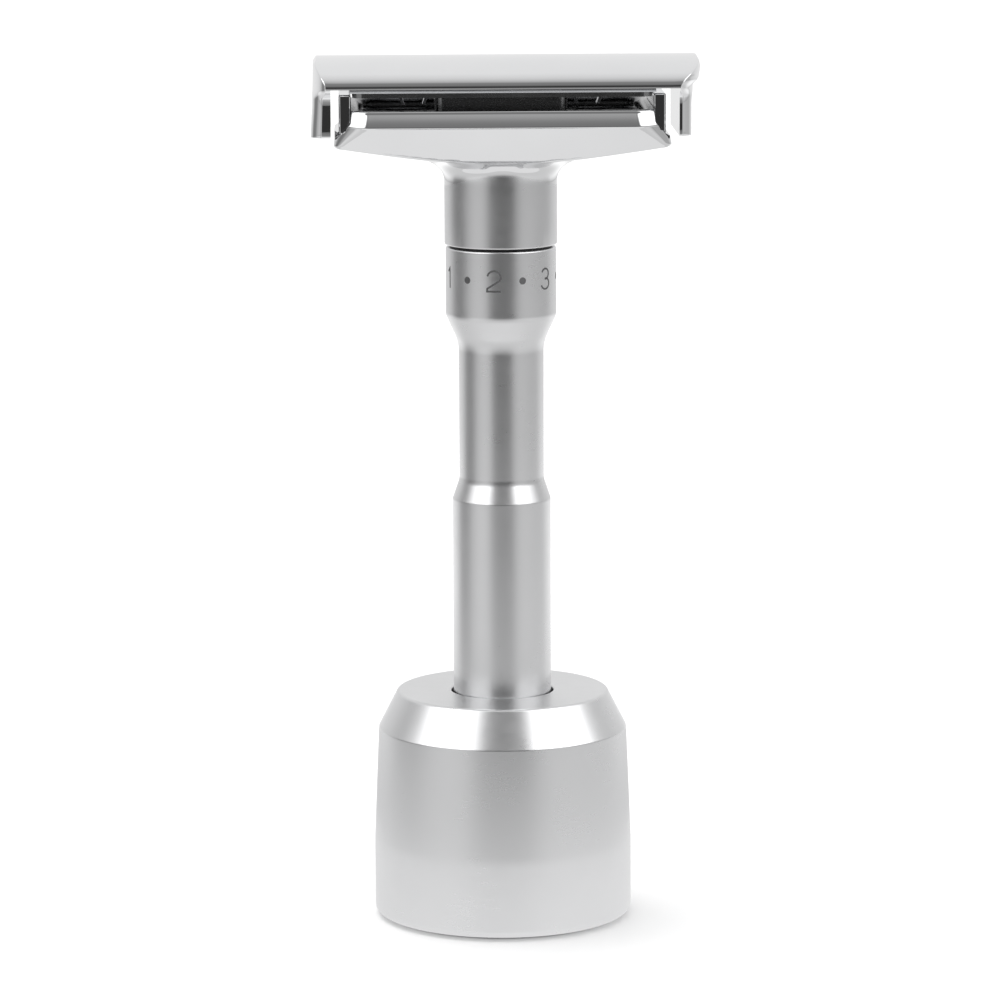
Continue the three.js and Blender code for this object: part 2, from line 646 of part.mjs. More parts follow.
function retainingClip() {
  const inner = sleeveRadius - CLIP_GROOVE_DEPTH + PRESS_GAP;
  const outer = handleBoreRadius - LOOSE_FIT;
  const bottom = clipGrooveBottom + RUNNING_FIT / 2;
  const ring = washer(inner, outer, bottom, bottom + CLIP_THICKNESS, MEDIUM);
  const half = CLIP_MOUTH / 2;
  return ring.subtract(block([0, -half, bottom - 1], [outer + 1, half, bottom + CLIP_THICKNESS + 1]));
}

add('guard_body', guardBody(), POLISHED_CHROME);
add('neck_o_ring', roundRing(oRingRadius, O_RING_SECTION, oRingHeight, MEDIUM), BLACK_RUBBER);
add('retaining_washer', washer(
  sleeveRadius + PRESS_GAP, handleBoreRadius - LOOSE_FIT,
  retainingWasherTop - RETAINING_WASHER_THICKNESS, retainingWasherTop, MEDIUM,
), SPRING_STEEL);
add('retaining_clip', retainingClip(), SPRING_STEEL);

// ---------------------------------------------------------------- bed, spindle and spring

function spindle() {
  const bottom = stopNutBottom - SPINDLE_TAIL;
  const holeBottom = spindleTop - SCREW_LENGTH;
  return turned([
    [0, bottom],
    [SPINDLE_RADIUS - SPINDLE_CHAMFER, bottom],
    [SPINDLE_RADIUS, bottom + SPINDLE_CHAMFER],
    [SPINDLE_RADIUS, spindleTop],
    [SCREW_RADIUS + PRESS_GAP, spindleTop],
    [SCREW_RADIUS + PRESS_GAP, holeBottom],
    [0, holeBottom],
  ], MEDIUM);
}

// Helical spring with a six-sided wire.
function bedSpring(bottom, top) {
  const height = top - bottom - SPRING_WIRE;
  const stepsPerTurn = 12;
  const steps = SPRING_TURNS * stepsPerTurn;
  const sides = 6;
  const positions = [];
  const index = [];
  for (let i = 0; i <= steps; i += 1) {
    const angle = (i / stepsPerTurn) * 2 * Math.PI;
    const z = bottom + SPRING_WIRE / 2 + (height * i) / steps;
    for (let side = 0; side < sides; side += 1) {
      const turn = (side / sides) * 2 * Math.PI;
      const radius = springMeanRadius + (SPRING_WIRE / 2) * Math.cos(turn);
      const rise = (SPRING_WIRE / 2) * Math.sin(turn);
      positions.push(radius * Math.cos(angle), radius * Math.sin(angle), z + rise);
    }
  }
  for (let i = 0; i < steps; i += 1) {
    for (let side = 0; side < sides; side += 1) {
      const a = i * sides + side;
      const b = i * sides + ((side + 1) % sides);
      index.push(a, b + sides, b, a, a + sides, b + sides);
    }
  }
  const last = steps * sides;
  for (let side = 1; side < sides - 1; side += 1) {
    index.push(0, side, side + 1);
    index.push(last, last + side + 1, last + side);
  }
  const geometry = new THREE.BufferGeometry();
  geometry.setAttribute('position', new THREE.Float32BufferAttribute(positions, 3));
  geometry.setIndex(index);
  return solid(geometry);
}

const bedHalfY = BLADE_HALF_CHORD - BED_SIDE_INSET;
const clipSlotHalf = CLIP_DEPTH / 2 + LOOSE_FIT;
const screwHeadTop = bedCrown - SCREW_SINK;
const screwHeadBottom = screwHeadTop - SCREW_HEAD_HEIGHT;

function bladeBed() {
  const arch = prismAlongX([...bendArc(BLADE_BEND_RADIUS).reverse(), [0, bendCentre]], 3 * BLADE_LENGTH);
  let body = arch.intersect(pad(bedHalfX, bedHalfY, BED_CORNER, bedUnderside, bedCrown + 1));
  body = body.add(pad(HUB_LENGTH / 2, HUB_WIDTH / 2, 1, hubBottom, bedUnderside + 0.5));
  body = body.add(doubleD(BOSS_RADIUS, BOSS_FLAT, bedBossBottom, bedUnderside + 0.5));
  const lug = block(
    [lugInner, -lugHalfWidth, bedUnderside + 0.5],
    [lugInner + LUG_LENGTH, lugHalfWidth, bedCrown + LUG_HEIGHT],
  );
  const socket = block(
    [clipSocketInner, -clipSlotHalf, bedUnderside - 1], [clipSocketOuter, clipSlotHalf, bedCrown + 1],
  );
  body = body.add(lug).add(mirrored(lug)).subtract(socket).subtract(mirrored(socket));
  body = body.subtract(rod(SPINDLE_RADIUS + PRESS_GAP, bedBossBottom - 1, spindleTop + CONTACT_GAP, MEDIUM));
  body = body.subtract(rod(SCREW_RADIUS + RUNNING_FIT, spindleTop, bedCrown + 1, SMALL));
  const sink = SCREW_HEAD_RADIUS + PRESS_GAP;
  return body.subtract(turned([
    [0, screwHeadBottom - 2 * PRESS_GAP],
    [SCREW_RADIUS + RUNNING_FIT, screwHeadBottom - 2 * PRESS_GAP],
    [sink, screwHeadTop - 0.3],
    [sink, bedCrown + 1],
    [0, bedCrown + 1],
  ], SMALL));
}

function bedScrew() {
  const slot = block(
    [-SCREW_HEAD_RADIUS - 1, -SCREW_SLOT_WIDTH / 2, screwHeadTop - SCREW_SLOT_DEPTH],
    [SCREW_HEAD_RADIUS + 1, SCREW_SLOT_WIDTH / 2, screwHeadTop + 1],
  );
  return turned([
    [0, spindleTop - SCREW_LENGTH + 0.5],
    [SCREW_RADIUS, spindleTop - SCREW_LENGTH + 0.5],
    [SCREW_RADIUS, screwHeadBottom],
    [SCREW_HEAD_RADIUS, screwHeadTop - 0.3],
    [SCREW_HEAD_RADIUS, screwHeadTop],
    [0, screwHeadTop],
  ], SMALL).subtract(slot);
}

const springWasherTop = bedBossBottom - CONTACT_GAP;
const springTop = springWasherTop - SPRING_WASHER_THICKNESS - CONTACT_GAP;

add('spindle', spindle(), SPRING_STEEL);
add('bed_spring', bedSpring(springFloor + CONTACT_GAP, springTop), SPRING_STEEL);
add('spring_seat_washer', washer(
  SPINDLE_RADIUS + PRESS_GAP, BOSS_FLAT - LOOSE_FIT, springTop + CONTACT_GAP, springWasherTop, MEDIUM,
), SPRING_STEEL);
add('blade_bed', bladeBed(), POLISHED_CHROME);
add('bed_screw', bedScrew(), SPRING_STEEL);
const stopNutHex = rod(SPINDLE_RADIUS + STOP_NUT_WALL, stopNutBottom, stopNutTop, 6);
const stopNutBore = rod(SPINDLE_RADIUS + PRESS_GAP, stopNutBottom - 1, stopNutTop + 1, MEDIUM);
add('travel_stop_nut', stopNutHex.subtract(stopNutBore), BRASS);

// ---------------------------------------------------------------- blade

function razorBlade() {
  const section = [...bendArc(bladeInnerRadius), ...bendArc(bladeOuterRadius).reverse()];
  const low = bendCentre;
  const high = bedCrown + 2;
  const side = BLADE_HALF_CHORD + 1;
  let body = prismAlongX(section, BLADE_LENGTH);
  body = body.intersect(block([-side * 3, -BLADE_HALF_CHORD, low], [side * 3, BLADE_HALF_CHORD, high]));
  for (const sx of [-1, 1]) {
    for (const sy of [-1, 1]) {
      const notchX = bladeHalfLength - BLADE_NOTCH_LENGTH;
      const x = [sx * notchX, sx * (bladeHalfLength + 1)].sort((a, b) => a - b);
      const y = [sy * (BLADE_HALF_CHORD - BLADE_NOTCH_WIDTH), sy * side].sort((a, b) => a - b);
      body = body.subtract(block([x[0], y[0], low], [x[1], y[1], high]));
    }
  }
  body = body.subtract(pad(BLADE_SLOT_LENGTH / 2, BLADE_SLOT_WIDTH / 2, 0.6, low, high));
  return body.subtract(rod(BLADE_HOLE_RADIUS, low, high, SMALL));
}

add('razor_blade', razorBlade(), BLADE_STEEL);

// ---------------------------------------------------------------- cap and its spring clips

function capBody() {
  const wallY = capLipHalf - CAP_WALL_INSET;
  // One level of the outer skin, with what each end stands past its wall.
  const level = (pastLeft, pastRight, halfY, corner, z) => roundedLevel(
    capWallHalf + (pastRight + pastLeft) / 2, halfY, corner, z, (pastRight - pastLeft) / 2,
  );
  const skin = loft([
    level(CAP_SPLAY, 0, wallY - 0.1, CAP_WALL_CORNER, capWallBottom),
    level(0, 0, wallY, CAP_WALL_CORNER, capLipBottom - CAP_LIP_BLEND),
    level(0, 0.3 * CAP_BULGE, capLipHalf - CAP_LIP_STEP, 2, capLipBottom - CAP_LIP_HEIGHT),
    level(0, 0.6 * CAP_BULGE, capLipHalf, CAP_CORNER - 0.2, capDomeBase),
    level(0, CAP_BULGE, capLipHalf, CAP_CORNER, capDomeBase + CAP_BULGE_HEIGHT),
    level(-0.1, CAP_BULGE - 0.1, capLipHalf, CAP_CORNER, capCrown - CAP_END_ROUND),
    level(-0.4, CAP_BULGE - 0.4, capLipHalf, CAP_CORNER, capCrown + 0.05),
  ]);
  const dome = [];
  for (let i = 0; i <= CAP_DOME_STEPS; i += 1) {
    const angle = (i / CAP_DOME_STEPS) * Math.PI;
    dome.push([capLipHalf * Math.cos(angle), capDomeBase + (capCrown - capDomeBase) * Math.sin(angle)]);
  }
  dome.push([-capLipHalf, capWallBottom - 1], [capLipHalf, capWallBottom - 1]);
  const open = [[-capLipHalf - 1, capWallBottom - 2], [capLipHalf + 1, capWallBottom - 2]];
  const cavity = prismAlongX([...bendArc(capInnerRadius).reverse(), ...open], 2 * capInnerHalf);
  const lugPocket = block(
    [lugInner - LOOSE_FIT, -lugHalfWidth - LOOSE_FIT, bendCentre],
    [lugInner + LUG_LENGTH + LOOSE_FIT, lugHalfWidth + LOOSE_FIT, bedCrown + LUG_HEIGHT + LOOSE_FIT],
  );
  const rivetTop = bendCentre + capInnerRadius + RIVET_LENGTH + CONTACT_GAP;
  const rivetHole = rod(RIVET_RADIUS + PRESS_GAP, bendCentre, rivetTop, SMALL, clipCentre);
  return skin
    .intersect(prismAlongX(dome, 3 * BLADE_LENGTH))
    .subtract(cavity)
    .subtract(lugPocket)
    .subtract(mirrored(lugPocket))
    .subtract(rivetHole)
    .subtract(mirrored(rivetHole));
}

// U-shaped leaf spring whose two prongs pass through the blade's slot into the bed.
function capClip() {
  const half = [
    [CLIP_HALF_WIDTH, clipTop],
    [CLIP_HALF_WIDTH, clipTop - 0.3 * CLIP_PRONG],
    [CLIP_HALF_WIDTH + CLIP_BELLY, clipTop - 0.75 * CLIP_PRONG],
    [CLIP_HALF_WIDTH - 0.1, clipTop - CLIP_PRONG - CLIP_STRIP],
    [CLIP_HALF_WIDTH - 0.1 - CLIP_STRIP, clipTop - CLIP_PRONG - CLIP_STRIP],
    [CLIP_HALF_WIDTH + CLIP_BELLY - CLIP_STRIP, clipTop - 0.75 * CLIP_PRONG],
    [CLIP_HALF_WIDTH - CLIP_STRIP, clipTop - 0.3 * CLIP_PRONG],
    [CLIP_HALF_WIDTH - CLIP_STRIP, clipStripBottom],
  ];
  const outline = [...half, ...half.map(([x, z]) => [-x, z]).reverse()].reverse();
  const strip = prismAlongY(outline, CLIP_DEPTH).translate([clipCentre, 0, 0]);
  return strip.subtract(rod(RIVET_RADIUS + PRESS_GAP, clipStripBottom - 1, clipTop + 1, SMALL, clipCentre));
}

function clipRivet() {
  const headTop = clipStripBottom - CONTACT_GAP;
  return turned([
    [0, headTop - RIVET_HEAD_HEIGHT],
    [RIVET_HEAD_RADIUS, headTop - RIVET_HEAD_HEIGHT],
    [RIVET_HEAD_RADIUS, headTop],
    [RIVET_RADIUS, headTop],
    [RIVET_RADIUS, bendCentre + capInnerRadius + RIVET_LENGTH],
    [0, bendCentre + capInnerRadius + RIVET_LENGTH],
  ], SMALL).translate([clipCentre, 0, 0]);
}

add('cap', capBody(), POLISHED_CHROME);
add('cap_clip_right', capClip(), SPRING_STEEL);
add('cap_clip_left', mirrored(capClip()), SPRING_STEEL);
add('cap_clip_rivet_right', clipRivet(), SPRING_STEEL);
add('cap_clip_rivet_left', mirrored(clipRivet()), SPRING_STEEL);

export default razor;
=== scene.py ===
import bmesh
import bpy
import json
import math
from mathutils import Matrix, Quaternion, Vector


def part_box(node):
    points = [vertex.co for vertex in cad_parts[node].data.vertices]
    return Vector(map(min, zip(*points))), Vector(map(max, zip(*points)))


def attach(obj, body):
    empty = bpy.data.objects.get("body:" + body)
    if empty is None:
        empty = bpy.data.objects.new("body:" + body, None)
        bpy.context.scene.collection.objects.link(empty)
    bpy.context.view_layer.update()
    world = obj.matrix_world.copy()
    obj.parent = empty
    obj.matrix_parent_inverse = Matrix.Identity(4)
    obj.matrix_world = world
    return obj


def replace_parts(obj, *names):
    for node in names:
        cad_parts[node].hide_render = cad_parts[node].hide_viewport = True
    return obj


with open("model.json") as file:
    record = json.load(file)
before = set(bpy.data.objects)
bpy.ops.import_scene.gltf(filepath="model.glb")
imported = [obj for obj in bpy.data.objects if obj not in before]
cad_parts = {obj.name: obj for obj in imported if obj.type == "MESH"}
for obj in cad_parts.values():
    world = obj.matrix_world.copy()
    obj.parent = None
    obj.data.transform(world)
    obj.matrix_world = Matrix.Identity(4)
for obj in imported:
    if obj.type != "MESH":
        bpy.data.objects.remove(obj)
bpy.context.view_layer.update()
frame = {"nodes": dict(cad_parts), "record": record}

# Adjustable double-edge safety razor in its round stand. Sizes below are in millimetres, in the
# row frame: +Z up the handle, X along the head, front towards -Y. What the frame knows is read
# from it, so that every visible piece fits its CAD node.

MM = 0.001
AROUND = 192             # segments of a turned piece


def span(node):
    """Lowest and highest corner of a CAD node in millimetres."""
    low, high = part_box(node)
    return Vector(low) / MM, Vector(high) / MM


STAND_LOW, STAND_HIGH = span("stand_body")
PAD_HIGH = span("stand_foot_pad")[1]
HANDLE_LOW, HANDLE_HIGH = span("handle_sleeve")
WASHER_LOW, WASHER_HIGH = span("dial_washer")
GUARD_HIGH = span("guard_body")[1]
BLADE_HIGH = span("razor_blade")[1]
BED_HIGH = span("blade_bed")[1]
CAP_LOW, CAP_HIGH = span("cap")

DIAL_RADIUS = HANDLE_HIGH.x
NECK_RADIUS = DIAL_RADIUS + 0.13
NECK_BOTTOM = WASHER_HIGH.z + 0.02
NECK_TOP = NECK_BOTTOM + 9.0
EAR_HEIGHT = 1.8         # of the plates at the guard's ends, above its top edge
GUARD_TOP = GUARD_HIGH.z - EAR_HEIGHT
BLADE_HALF = BLADE_HIGH.x
BLADE_CHORD = BLADE_HIGH.y
BEND = 32.0              # radius that the bed bends the blade to
BEND_CENTRE = GUARD_TOP + 4.0 - BEND
CAP_INNER = BLADE_HALF + 0.3
CAP_LIP = CAP_HIGH.y


# ---------------------------------------------------------------- mesh helpers

def finish_mesh(name, body, material, smooth_angle=30.0):
    """Gives a new object its material, shading and body."""
    obj = bpy.data.objects[name]
    obj.data.materials.clear()
    obj.data.materials.append(material)
    shade(obj, smooth_angle)
    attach(obj, body)
    return obj


def shade(obj, smooth_angle):
    """Smooth shading that stays crisp where faces meet at more than the angle."""
    mesh = obj.data
    work = bmesh.new()
    work.from_mesh(mesh)
    limit = math.radians(smooth_angle)
    for face in work.faces:
        face.smooth = True
    for edge in work.edges:
        edge.smooth = len(edge.link_faces) != 2 or edge.calc_face_angle(0.0) < limit
    work.to_mesh(mesh)
    work.free()


def make_object(name, vertices, faces):
    """A mesh object from points in millimetres."""
    mesh = bpy.data.meshes.new(name)
    mesh.from_pydata([Vector(v) * MM for v in vertices], [], faces)
    work = bmesh.new()
    work.from_mesh(mesh)
    bmesh.ops.remove_doubles(work, verts=work.verts, dist=1e-7)
    bmesh.ops.dissolve_degenerate(work, edges=work.edges, dist=1e-8)
    bmesh.ops.recalc_face_normals(work, faces=work.faces)
    work.to_mesh(mesh)
    work.free()
    obj = bpy.data.objects.new(name, mesh)
    bpy.context.scene.collection.objects.link(obj)
    return obj


def add_weighted_normals(obj):
    """Keeps flats flat beside small round edges."""
    modifier = obj.modifiers.new("normals", "WEIGHTED_NORMAL")
    modifier.keep_sharp = True
    return obj


def rounded(corners, steps=6):
    """Outline from (radius, height, round) corners, each rounded by an arc of that size."""
    outline = []
    for i, (x, z, size) in enumerate(corners):
        here = Vector((x, z))
        if size <= 0 or i in (0, len(corners) - 1):
            outline.append((x, z))
            continue
        back = Vector(corners[i - 1][:2]) - here
        ahead = Vector(corners[i + 1][:2]) - here
        half = back.angle(ahead) / 2
        reach = min(size / math.tan(half), 0.49 * back.length, 0.49 * ahead.length)
        size = reach * math.tan(half)
        start = here + back.normalized() * reach
        end = here + ahead.normalized() * reach
        middle = (back.normalized() + ahead.normalized()).normalized()
        centre = here + middle * (size / math.sin(half))
        a = start - centre
        b = end - centre
        turn = a.angle_signed(b)
        for k in range(steps + 1):
            angle = -turn * k / steps
            c, s = math.cos(angle), math.sin(angle)
            point = centre + Vector((a.x * c - a.y * s, a.x * s + a.y * c))
            outline.append((point.x, point.y))
    return outline


def turned(name, outline, around=AROUND, closed=False):
    """Solid of revolution about Z from a (radius, height) outline."""
    vertices = []
    faces = []
    count = len(outline)
    for radius, height in outline:
        for k in range(around):
            angle = 2 * math.pi * k / around
            vertices.append((radius * math.cos(angle), radius * math.sin(angle), height))
    for i in range(count if closed else count - 1):
        j = (i + 1) % count
        for k in range(around):
            n = (k + 1) % around
            faces.append((i * around + k, i * around + n, j * around + n, j * around + k))
    return add_weighted_normals(make_object(name, vertices, faces))


def lofted(name, rings):
    """Closed skin through rings of equal length, with flat ends."""
    count = len(rings[0])
    vertices = [point for ring in rings for point in ring]
    faces = []
    for i in range(len(rings) - 1):
        for k in range(count):
            n = (k + 1) % count
            faces.append((i * count + k, i * count + n, (i + 1) * count + n, (i + 1) * count + k))
    faces.append(tuple(reversed(range(count))))
    last = (len(rings) - 1) * count
    faces.append(tuple(last + k for k in range(count)))
    return make_object(name, vertices, faces)


def block(name, low, high):
    """A box, as a piece or a cutter."""
    (x0, y0, z0), (x1, y1, z1) = low, high
    ring = [(x0, y0), (x1, y0), (x1, y1), (x0, y1)]
    return lofted(name, [[(x, y, z) for x, y in ring] for z in (z0, z1)])


def prism_x(name, outline, start, end):
    """A cutter with a (y, z) outline, along X."""
    return lofted(name, [[(x, y, z) for y, z in outline] for x in (start, end)])


def cut(obj, cutters, operation="DIFFERENCE"):
    """Applies boolean cuts and deletes the cutters."""
    for cutter in cutters:
        modifier = obj.modifiers.new("cut", "BOOLEAN")
        modifier.operation = operation
        modifier.solver = "EXACT"
        modifier.object = cutter
    bpy.context.view_layer.update()
    graph = bpy.context.evaluated_depsgraph_get()
    result = bpy.data.meshes.new_from_object(obj.evaluated_get(graph))
    obj.modifiers.clear()
    obj.data = result
    for cutter in cutters:
        bpy.data.objects.remove(cutter)
    return obj


def add_bevel(obj, width, angle=35.0, segments=2):
    """Small round on the edges that are sharper than the angle."""
    modifier = obj.modifiers.new("edge_round", "BEVEL")
    modifier.width = width * MM
    modifier.segments = segments
    modifier.limit_method = "ANGLE"
    modifier.angle_limit = math.radians(angle)
    modifier.harden_normals = True
    modifier.use_clamp_overlap = True
    return obj


def curve_through(points):
    """Smooth monotone function through (input, value) points."""
    def value(x):
        if x <= points[0][0]:
            return points[0][1]
        for (x0, y0), (x1, y1) in zip(points, points[1:]):
            if x <= x1:
                t = (x - x0) / (x1 - x0)
                return y0 + (y1 - y0) * t * t * (3 - 2 * t)
        return points[-1][1]
    return value


# ---------------------------------------------------------------- materials

SATIN_DARK = (0.74, 0.743, 0.75)
SATIN_LIGHT = (0.79, 0.792, 0.80)
# painted shade colour for the inside of the guard's tray
TRAY_SHADE_COLOUR = (0.12, 0.12, 0.125, 1.0)
POLISH_BEND = 0.035      # how the edge of the polish drops towards the sides, per millimetre
TRAY_HALF_Y = 10.1
TRAY_HEIGHT = 101.35


class Nodes:
    """Short-hand for building one material's nodes."""

    def __init__(self, name, emission=False):
        self.material = bpy.data.materials.new(name)
        self.material.use_nodes = True
        self.tree = self.material.node_tree
        self.shader = self.tree.nodes["Principled BSDF"]
        self.place = self.add("ShaderNodeTexCoord").outputs["Object"]
        if emission:
            self.tree.nodes.remove(self.shader)
            self.shader = self.add("ShaderNodeEmission")
            self.link(self.shader.outputs[0], self.tree.nodes["Material Output"].inputs["Surface"])

    def add(self, kind, **values):
        node = self.tree.nodes.new(kind)
        for key, value in values.items():
            setattr(node, key, value)
        return node

    def link(self, source, target):
        """Links a socket, or sets a plain value."""
        if isinstance(source, (int, float)):
            target.default_value = source
        else:
            self.tree.links.new(source, target)

    def noise(self, scale, detail=3.0, stretch=(1.0, 1.0, 1.0), roughness=0.5):
        mapping = self.add("ShaderNodeMapping")
        mapping.inputs["Scale"].default_value = stretch
        self.link(self.place, mapping.inputs["Vector"])
        texture = self.add("ShaderNodeTexNoise")
        texture.inputs["Scale"].default_value = scale
        texture.inputs["Detail"].default_value = detail
        texture.inputs["Roughness"].default_value = roughness
        self.link(mapping.outputs["Vector"], texture.inputs["Vector"])
        return texture.outputs["Fac"]

    def spread(self, value, low, high, start=0.3, end=0.7, easing="LINEAR"):
        """Maps a range of a value to another range."""
        node = self.add("ShaderNodeMapRange", interpolation_type=easing)
        node.inputs["From Min"].default_value = start
        node.inputs["From Max"].default_value = end
        node.inputs["To Min"].default_value = low
        node.inputs["To Max"].default_value = high
        self.link(value, node.inputs["Value"])
        return node.outputs["Result"]

    def smooth(self, value, start, end):
        """Eases from 0 at the start to 1 at the end."""
        if start > end:
            return self.spread(value, 1.0, 0.0, end, start, "SMOOTHSTEP")
        return self.spread(value, 0.0, 1.0, start, end, "SMOOTHSTEP")

    def math(self, operation, a, b=0.0):
        node = self.add("ShaderNodeMath", operation=operation)
        self.link(a, node.inputs[0])
        self.link(b, node.inputs[1])
        return node.outputs["Value"]

    def blend(self, factor, a, b):
        """Mixes two values."""
        node = self.add("ShaderNodeMix", data_type="FLOAT")
        self.link(factor, node.inputs[0])
        self.link(a, node.inputs[2])
        self.link(b, node.inputs[3])
        return node.outputs[0]

    def mix_colour(self, factor, a, b):
        node = self.add("ShaderNodeMix", data_type="RGBA")
        self.link(factor, node.inputs[0])
        node.inputs[6].default_value = (*a, 1.0)
        node.inputs[7].default_value = (*b, 1.0)
        self.link(node.outputs[2], self.shader.inputs["Base Color"])

    def bump(self, height, distance, strength=1.0):
        node = self.add("ShaderNodeBump")
        node.inputs["Distance"].default_value = distance
        node.inputs["Strength"].default_value = strength
        self.link(height, node.inputs["Height"])
        self.link(node.outputs["Normal"], self.shader.inputs["Normal"])


def polished_chrome():
    """Mirror plate: faint polishing haze and hairline marks."""
    n = Nodes("polished_chrome")
    n.shader.inputs["Metallic"].default_value = 1.0
    n.mix_colour(n.spread(n.noise(60.0), 0.0, 1.0), (0.83, 0.835, 0.845), (0.87, 0.872, 0.88))
    haze = n.spread(n.noise(240.0, 4.0), 0.035, 0.075)
    marks = n.spread(n.noise(900.0, 2.0, (0.06, 1.0, 1.0)), 0.0, 0.03, 0.6, 0.75)
    n.link(n.math("ADD", haze, marks), n.shader.inputs["Roughness"])
    n.bump(n.noise(500.0, 3.0), 0.000002, 0.25)
    return n.material


def satin_chrome(name, roughness, polished_above=None, tone=1.0):
    """Satin plate: fine turned grain. Above a height it passes into the mirror finish. Inside the guard's
    tray the colour is darkened as painted shade.
    """
    n = Nodes(name)
    n.shader.inputs["Metallic"].default_value = 1.0
    dark, light = (tuple(tone * c for c in colour) for colour in (SATIN_DARK, SATIN_LIGHT))
    n.mix_colour(n.spread(n.noise(45.0), 0.0, 1.0), dark, light)
    cloud = n.spread(n.noise(120.0, 4.0), roughness - 0.025, roughness + 0.025)
    grain = n.noise(2600.0, 3.0, (0.25, 0.25, 1.0))
    fine = n.spread(grain, -0.02, 0.02)
    rough = n.math("ADD", cloud, fine)
    if polished_above is not None:
        split = n.add("ShaderNodeSeparateXYZ")
        n.link(n.place, split.inputs["Vector"])
        x, y, z = split.outputs
        edge = n.math("ADD", z, n.math("MULTIPLY", n.math("MULTIPLY", x, x), POLISH_BEND / MM))
        polish = n.smooth(edge, (polished_above - 0.2) * MM, (polished_above + 0.3) * MM)
        inside = n.smooth(n.math("ABSOLUTE", y), (TRAY_HALF_Y + 0.2) * MM, (TRAY_HALF_Y - 0.2) * MM)
        above = n.smooth(z, (TRAY_HEIGHT - 0.15) * MM, (TRAY_HEIGHT + 0.15) * MM)
        tray = n.math("MULTIPLY", inside, above)
        polish = n.math("SUBTRACT", polish, n.math("MULTIPLY", tray, 0.75))
        rough = n.blend(polish, rough, 0.05)
        # painted shade: the tray's inside is darkened where the bed and cap shade it
        tray_shade = n.add("ShaderNodeMix", data_type="RGBA")
        n.link(n.math("MULTIPLY", tray, 0.75), tray_shade.inputs[0])
        n.link(n.shader.inputs["Base Color"].links[0].from_socket, tray_shade.inputs[6])
        tray_shade.inputs[7].default_value = TRAY_SHADE_COLOUR
        n.link(tray_shade.outputs[2], n.shader.inputs["Base Color"])
    n.link(rough, n.shader.inputs["Roughness"])
    n.bump(grain, 0.0000015, 0.15)
    return n.material


def plain_metal(name, dark, light, roughness, stretch=(1.0, 1.0, 1.0)):
    """Machined, drawn or ground metal with a directional grain."""
    n = Nodes(name)
    n.shader.inputs["Metallic"].default_value = 1.0
    grain = n.noise(1800.0, 4.0, stretch)
    n.mix_colour(n.spread(n.noise(90.0, 4.0), 0.0, 1.0), dark, light)
    n.link(n.spread(grain, roughness - 0.08, roughness + 0.08), n.shader.inputs["Roughness"])
    n.bump(grain, 0.000004, 0.4)
    return n.material


def dark_polymer(name, dark, light, roughness, pebble):
    """Rubber or plastic with a fine pebbled skin."""
    n = Nodes(name)
    n.mix_colour(n.spread(n.noise(150.0, 4.0), 0.0, 1.0), dark, light)
    skin = n.noise(pebble, 3.0)
    n.link(n.spread(skin, roughness - 0.07, roughness + 0.07), n.shader.inputs["Roughness"])
    n.bump(skin, 0.00003, 0.5)
    return n.material


POLISHED = polished_chrome()
SATIN = satin_chrome("satin_chrome", 0.30)
GUARD_METAL = satin_chrome("guard_chrome", 0.31, 95.0)
# the bed's chrome is painted darker, as painted shade: it sits in the shadow under the blade and cap
SHADED_BED_METAL = satin_chrome("bed_chrome_painted_shade", 0.27, tone=0.4)
STEEL = plain_metal("spring_steel", (0.44, 0.45, 0.47), (0.56, 0.57, 0.59), 0.34)
BLADE_METAL = plain_metal("blade_steel", (0.56, 0.57, 0.59), (0.66, 0.67, 0.69), 0.24, (0.05, 1.0, 1.0))
BRASS = plain_metal("brass", (0.55, 0.40, 0.18), (0.68, 0.52, 0.27), 0.32)
RUBBER = dark_polymer("black_rubber", (0.012, 0.012, 0.013), (0.03, 0.03, 0.032), 0.75, 1400.0)
PLASTIC = dark_polymer("black_plastic", (0.006, 0.006, 0.007), (0.015, 0.015, 0.016), 0.55, 900.0)
PAINT = dark_polymer("engraving_grey", (0.05, 0.05, 0.052), (0.10, 0.10, 0.103), 0.6, 1200.0)

SLOT_MATERIALS = {
    "polished_chrome": POLISHED, "satin_chrome": SATIN, "spring_steel": STEEL, "blade_steel": BLADE_METAL,
    "brass": BRASS, "black_rubber": RUBBER, "black_plastic": PLASTIC,
}


# ---------------------------------------------------------------- stand

HANDLE_SOCKET = 6.45     # stand's bore


def make_stand():
    base = STAND_HIGH.x
    low, top = STAND_LOW.z, STAND_HIGH.z
    recess = PAD_HIGH.x + 0.2
    corners = [
        (0.0, PAD_HIGH.z, 0.0), (recess, PAD_HIGH.z, 0.0), (recess, low, 0.1), (base, low, 1.5),
        (base, 10.0, 30.0), (base - 0.6, top - 4.7, 0.5), (base - 3.0, top, 0.5),
        (HANDLE_SOCKET, top, 0.25), (HANDLE_SOCKET, 5.0, 0.3), (0.0, 5.0, 0.0),
    ]
    turned("stand_shell", rounded(corners))
    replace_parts(finish_mesh("stand_shell", "stand", SATIN), "stand_body")
    radius, height = PAD_HIGH.x, PAD_HIGH.z
    turned("foot_pad_disc", rounded([
        (0.0, 0.0, 0.0), (radius - 1.2, 0.0, 0.1), (radius - 0.9, 0.12, 0.1), (radius - 0.6, 0.0, 0.1),
        (radius, 0.0, 0.25), (radius, height, 0.0), (0.0, height, 0.0),
    ], 4))
    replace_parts(finish_mesh("foot_pad_disc", "stand", RUBBER), "stand_foot_pad")


# ---------------------------------------------------------------- handle

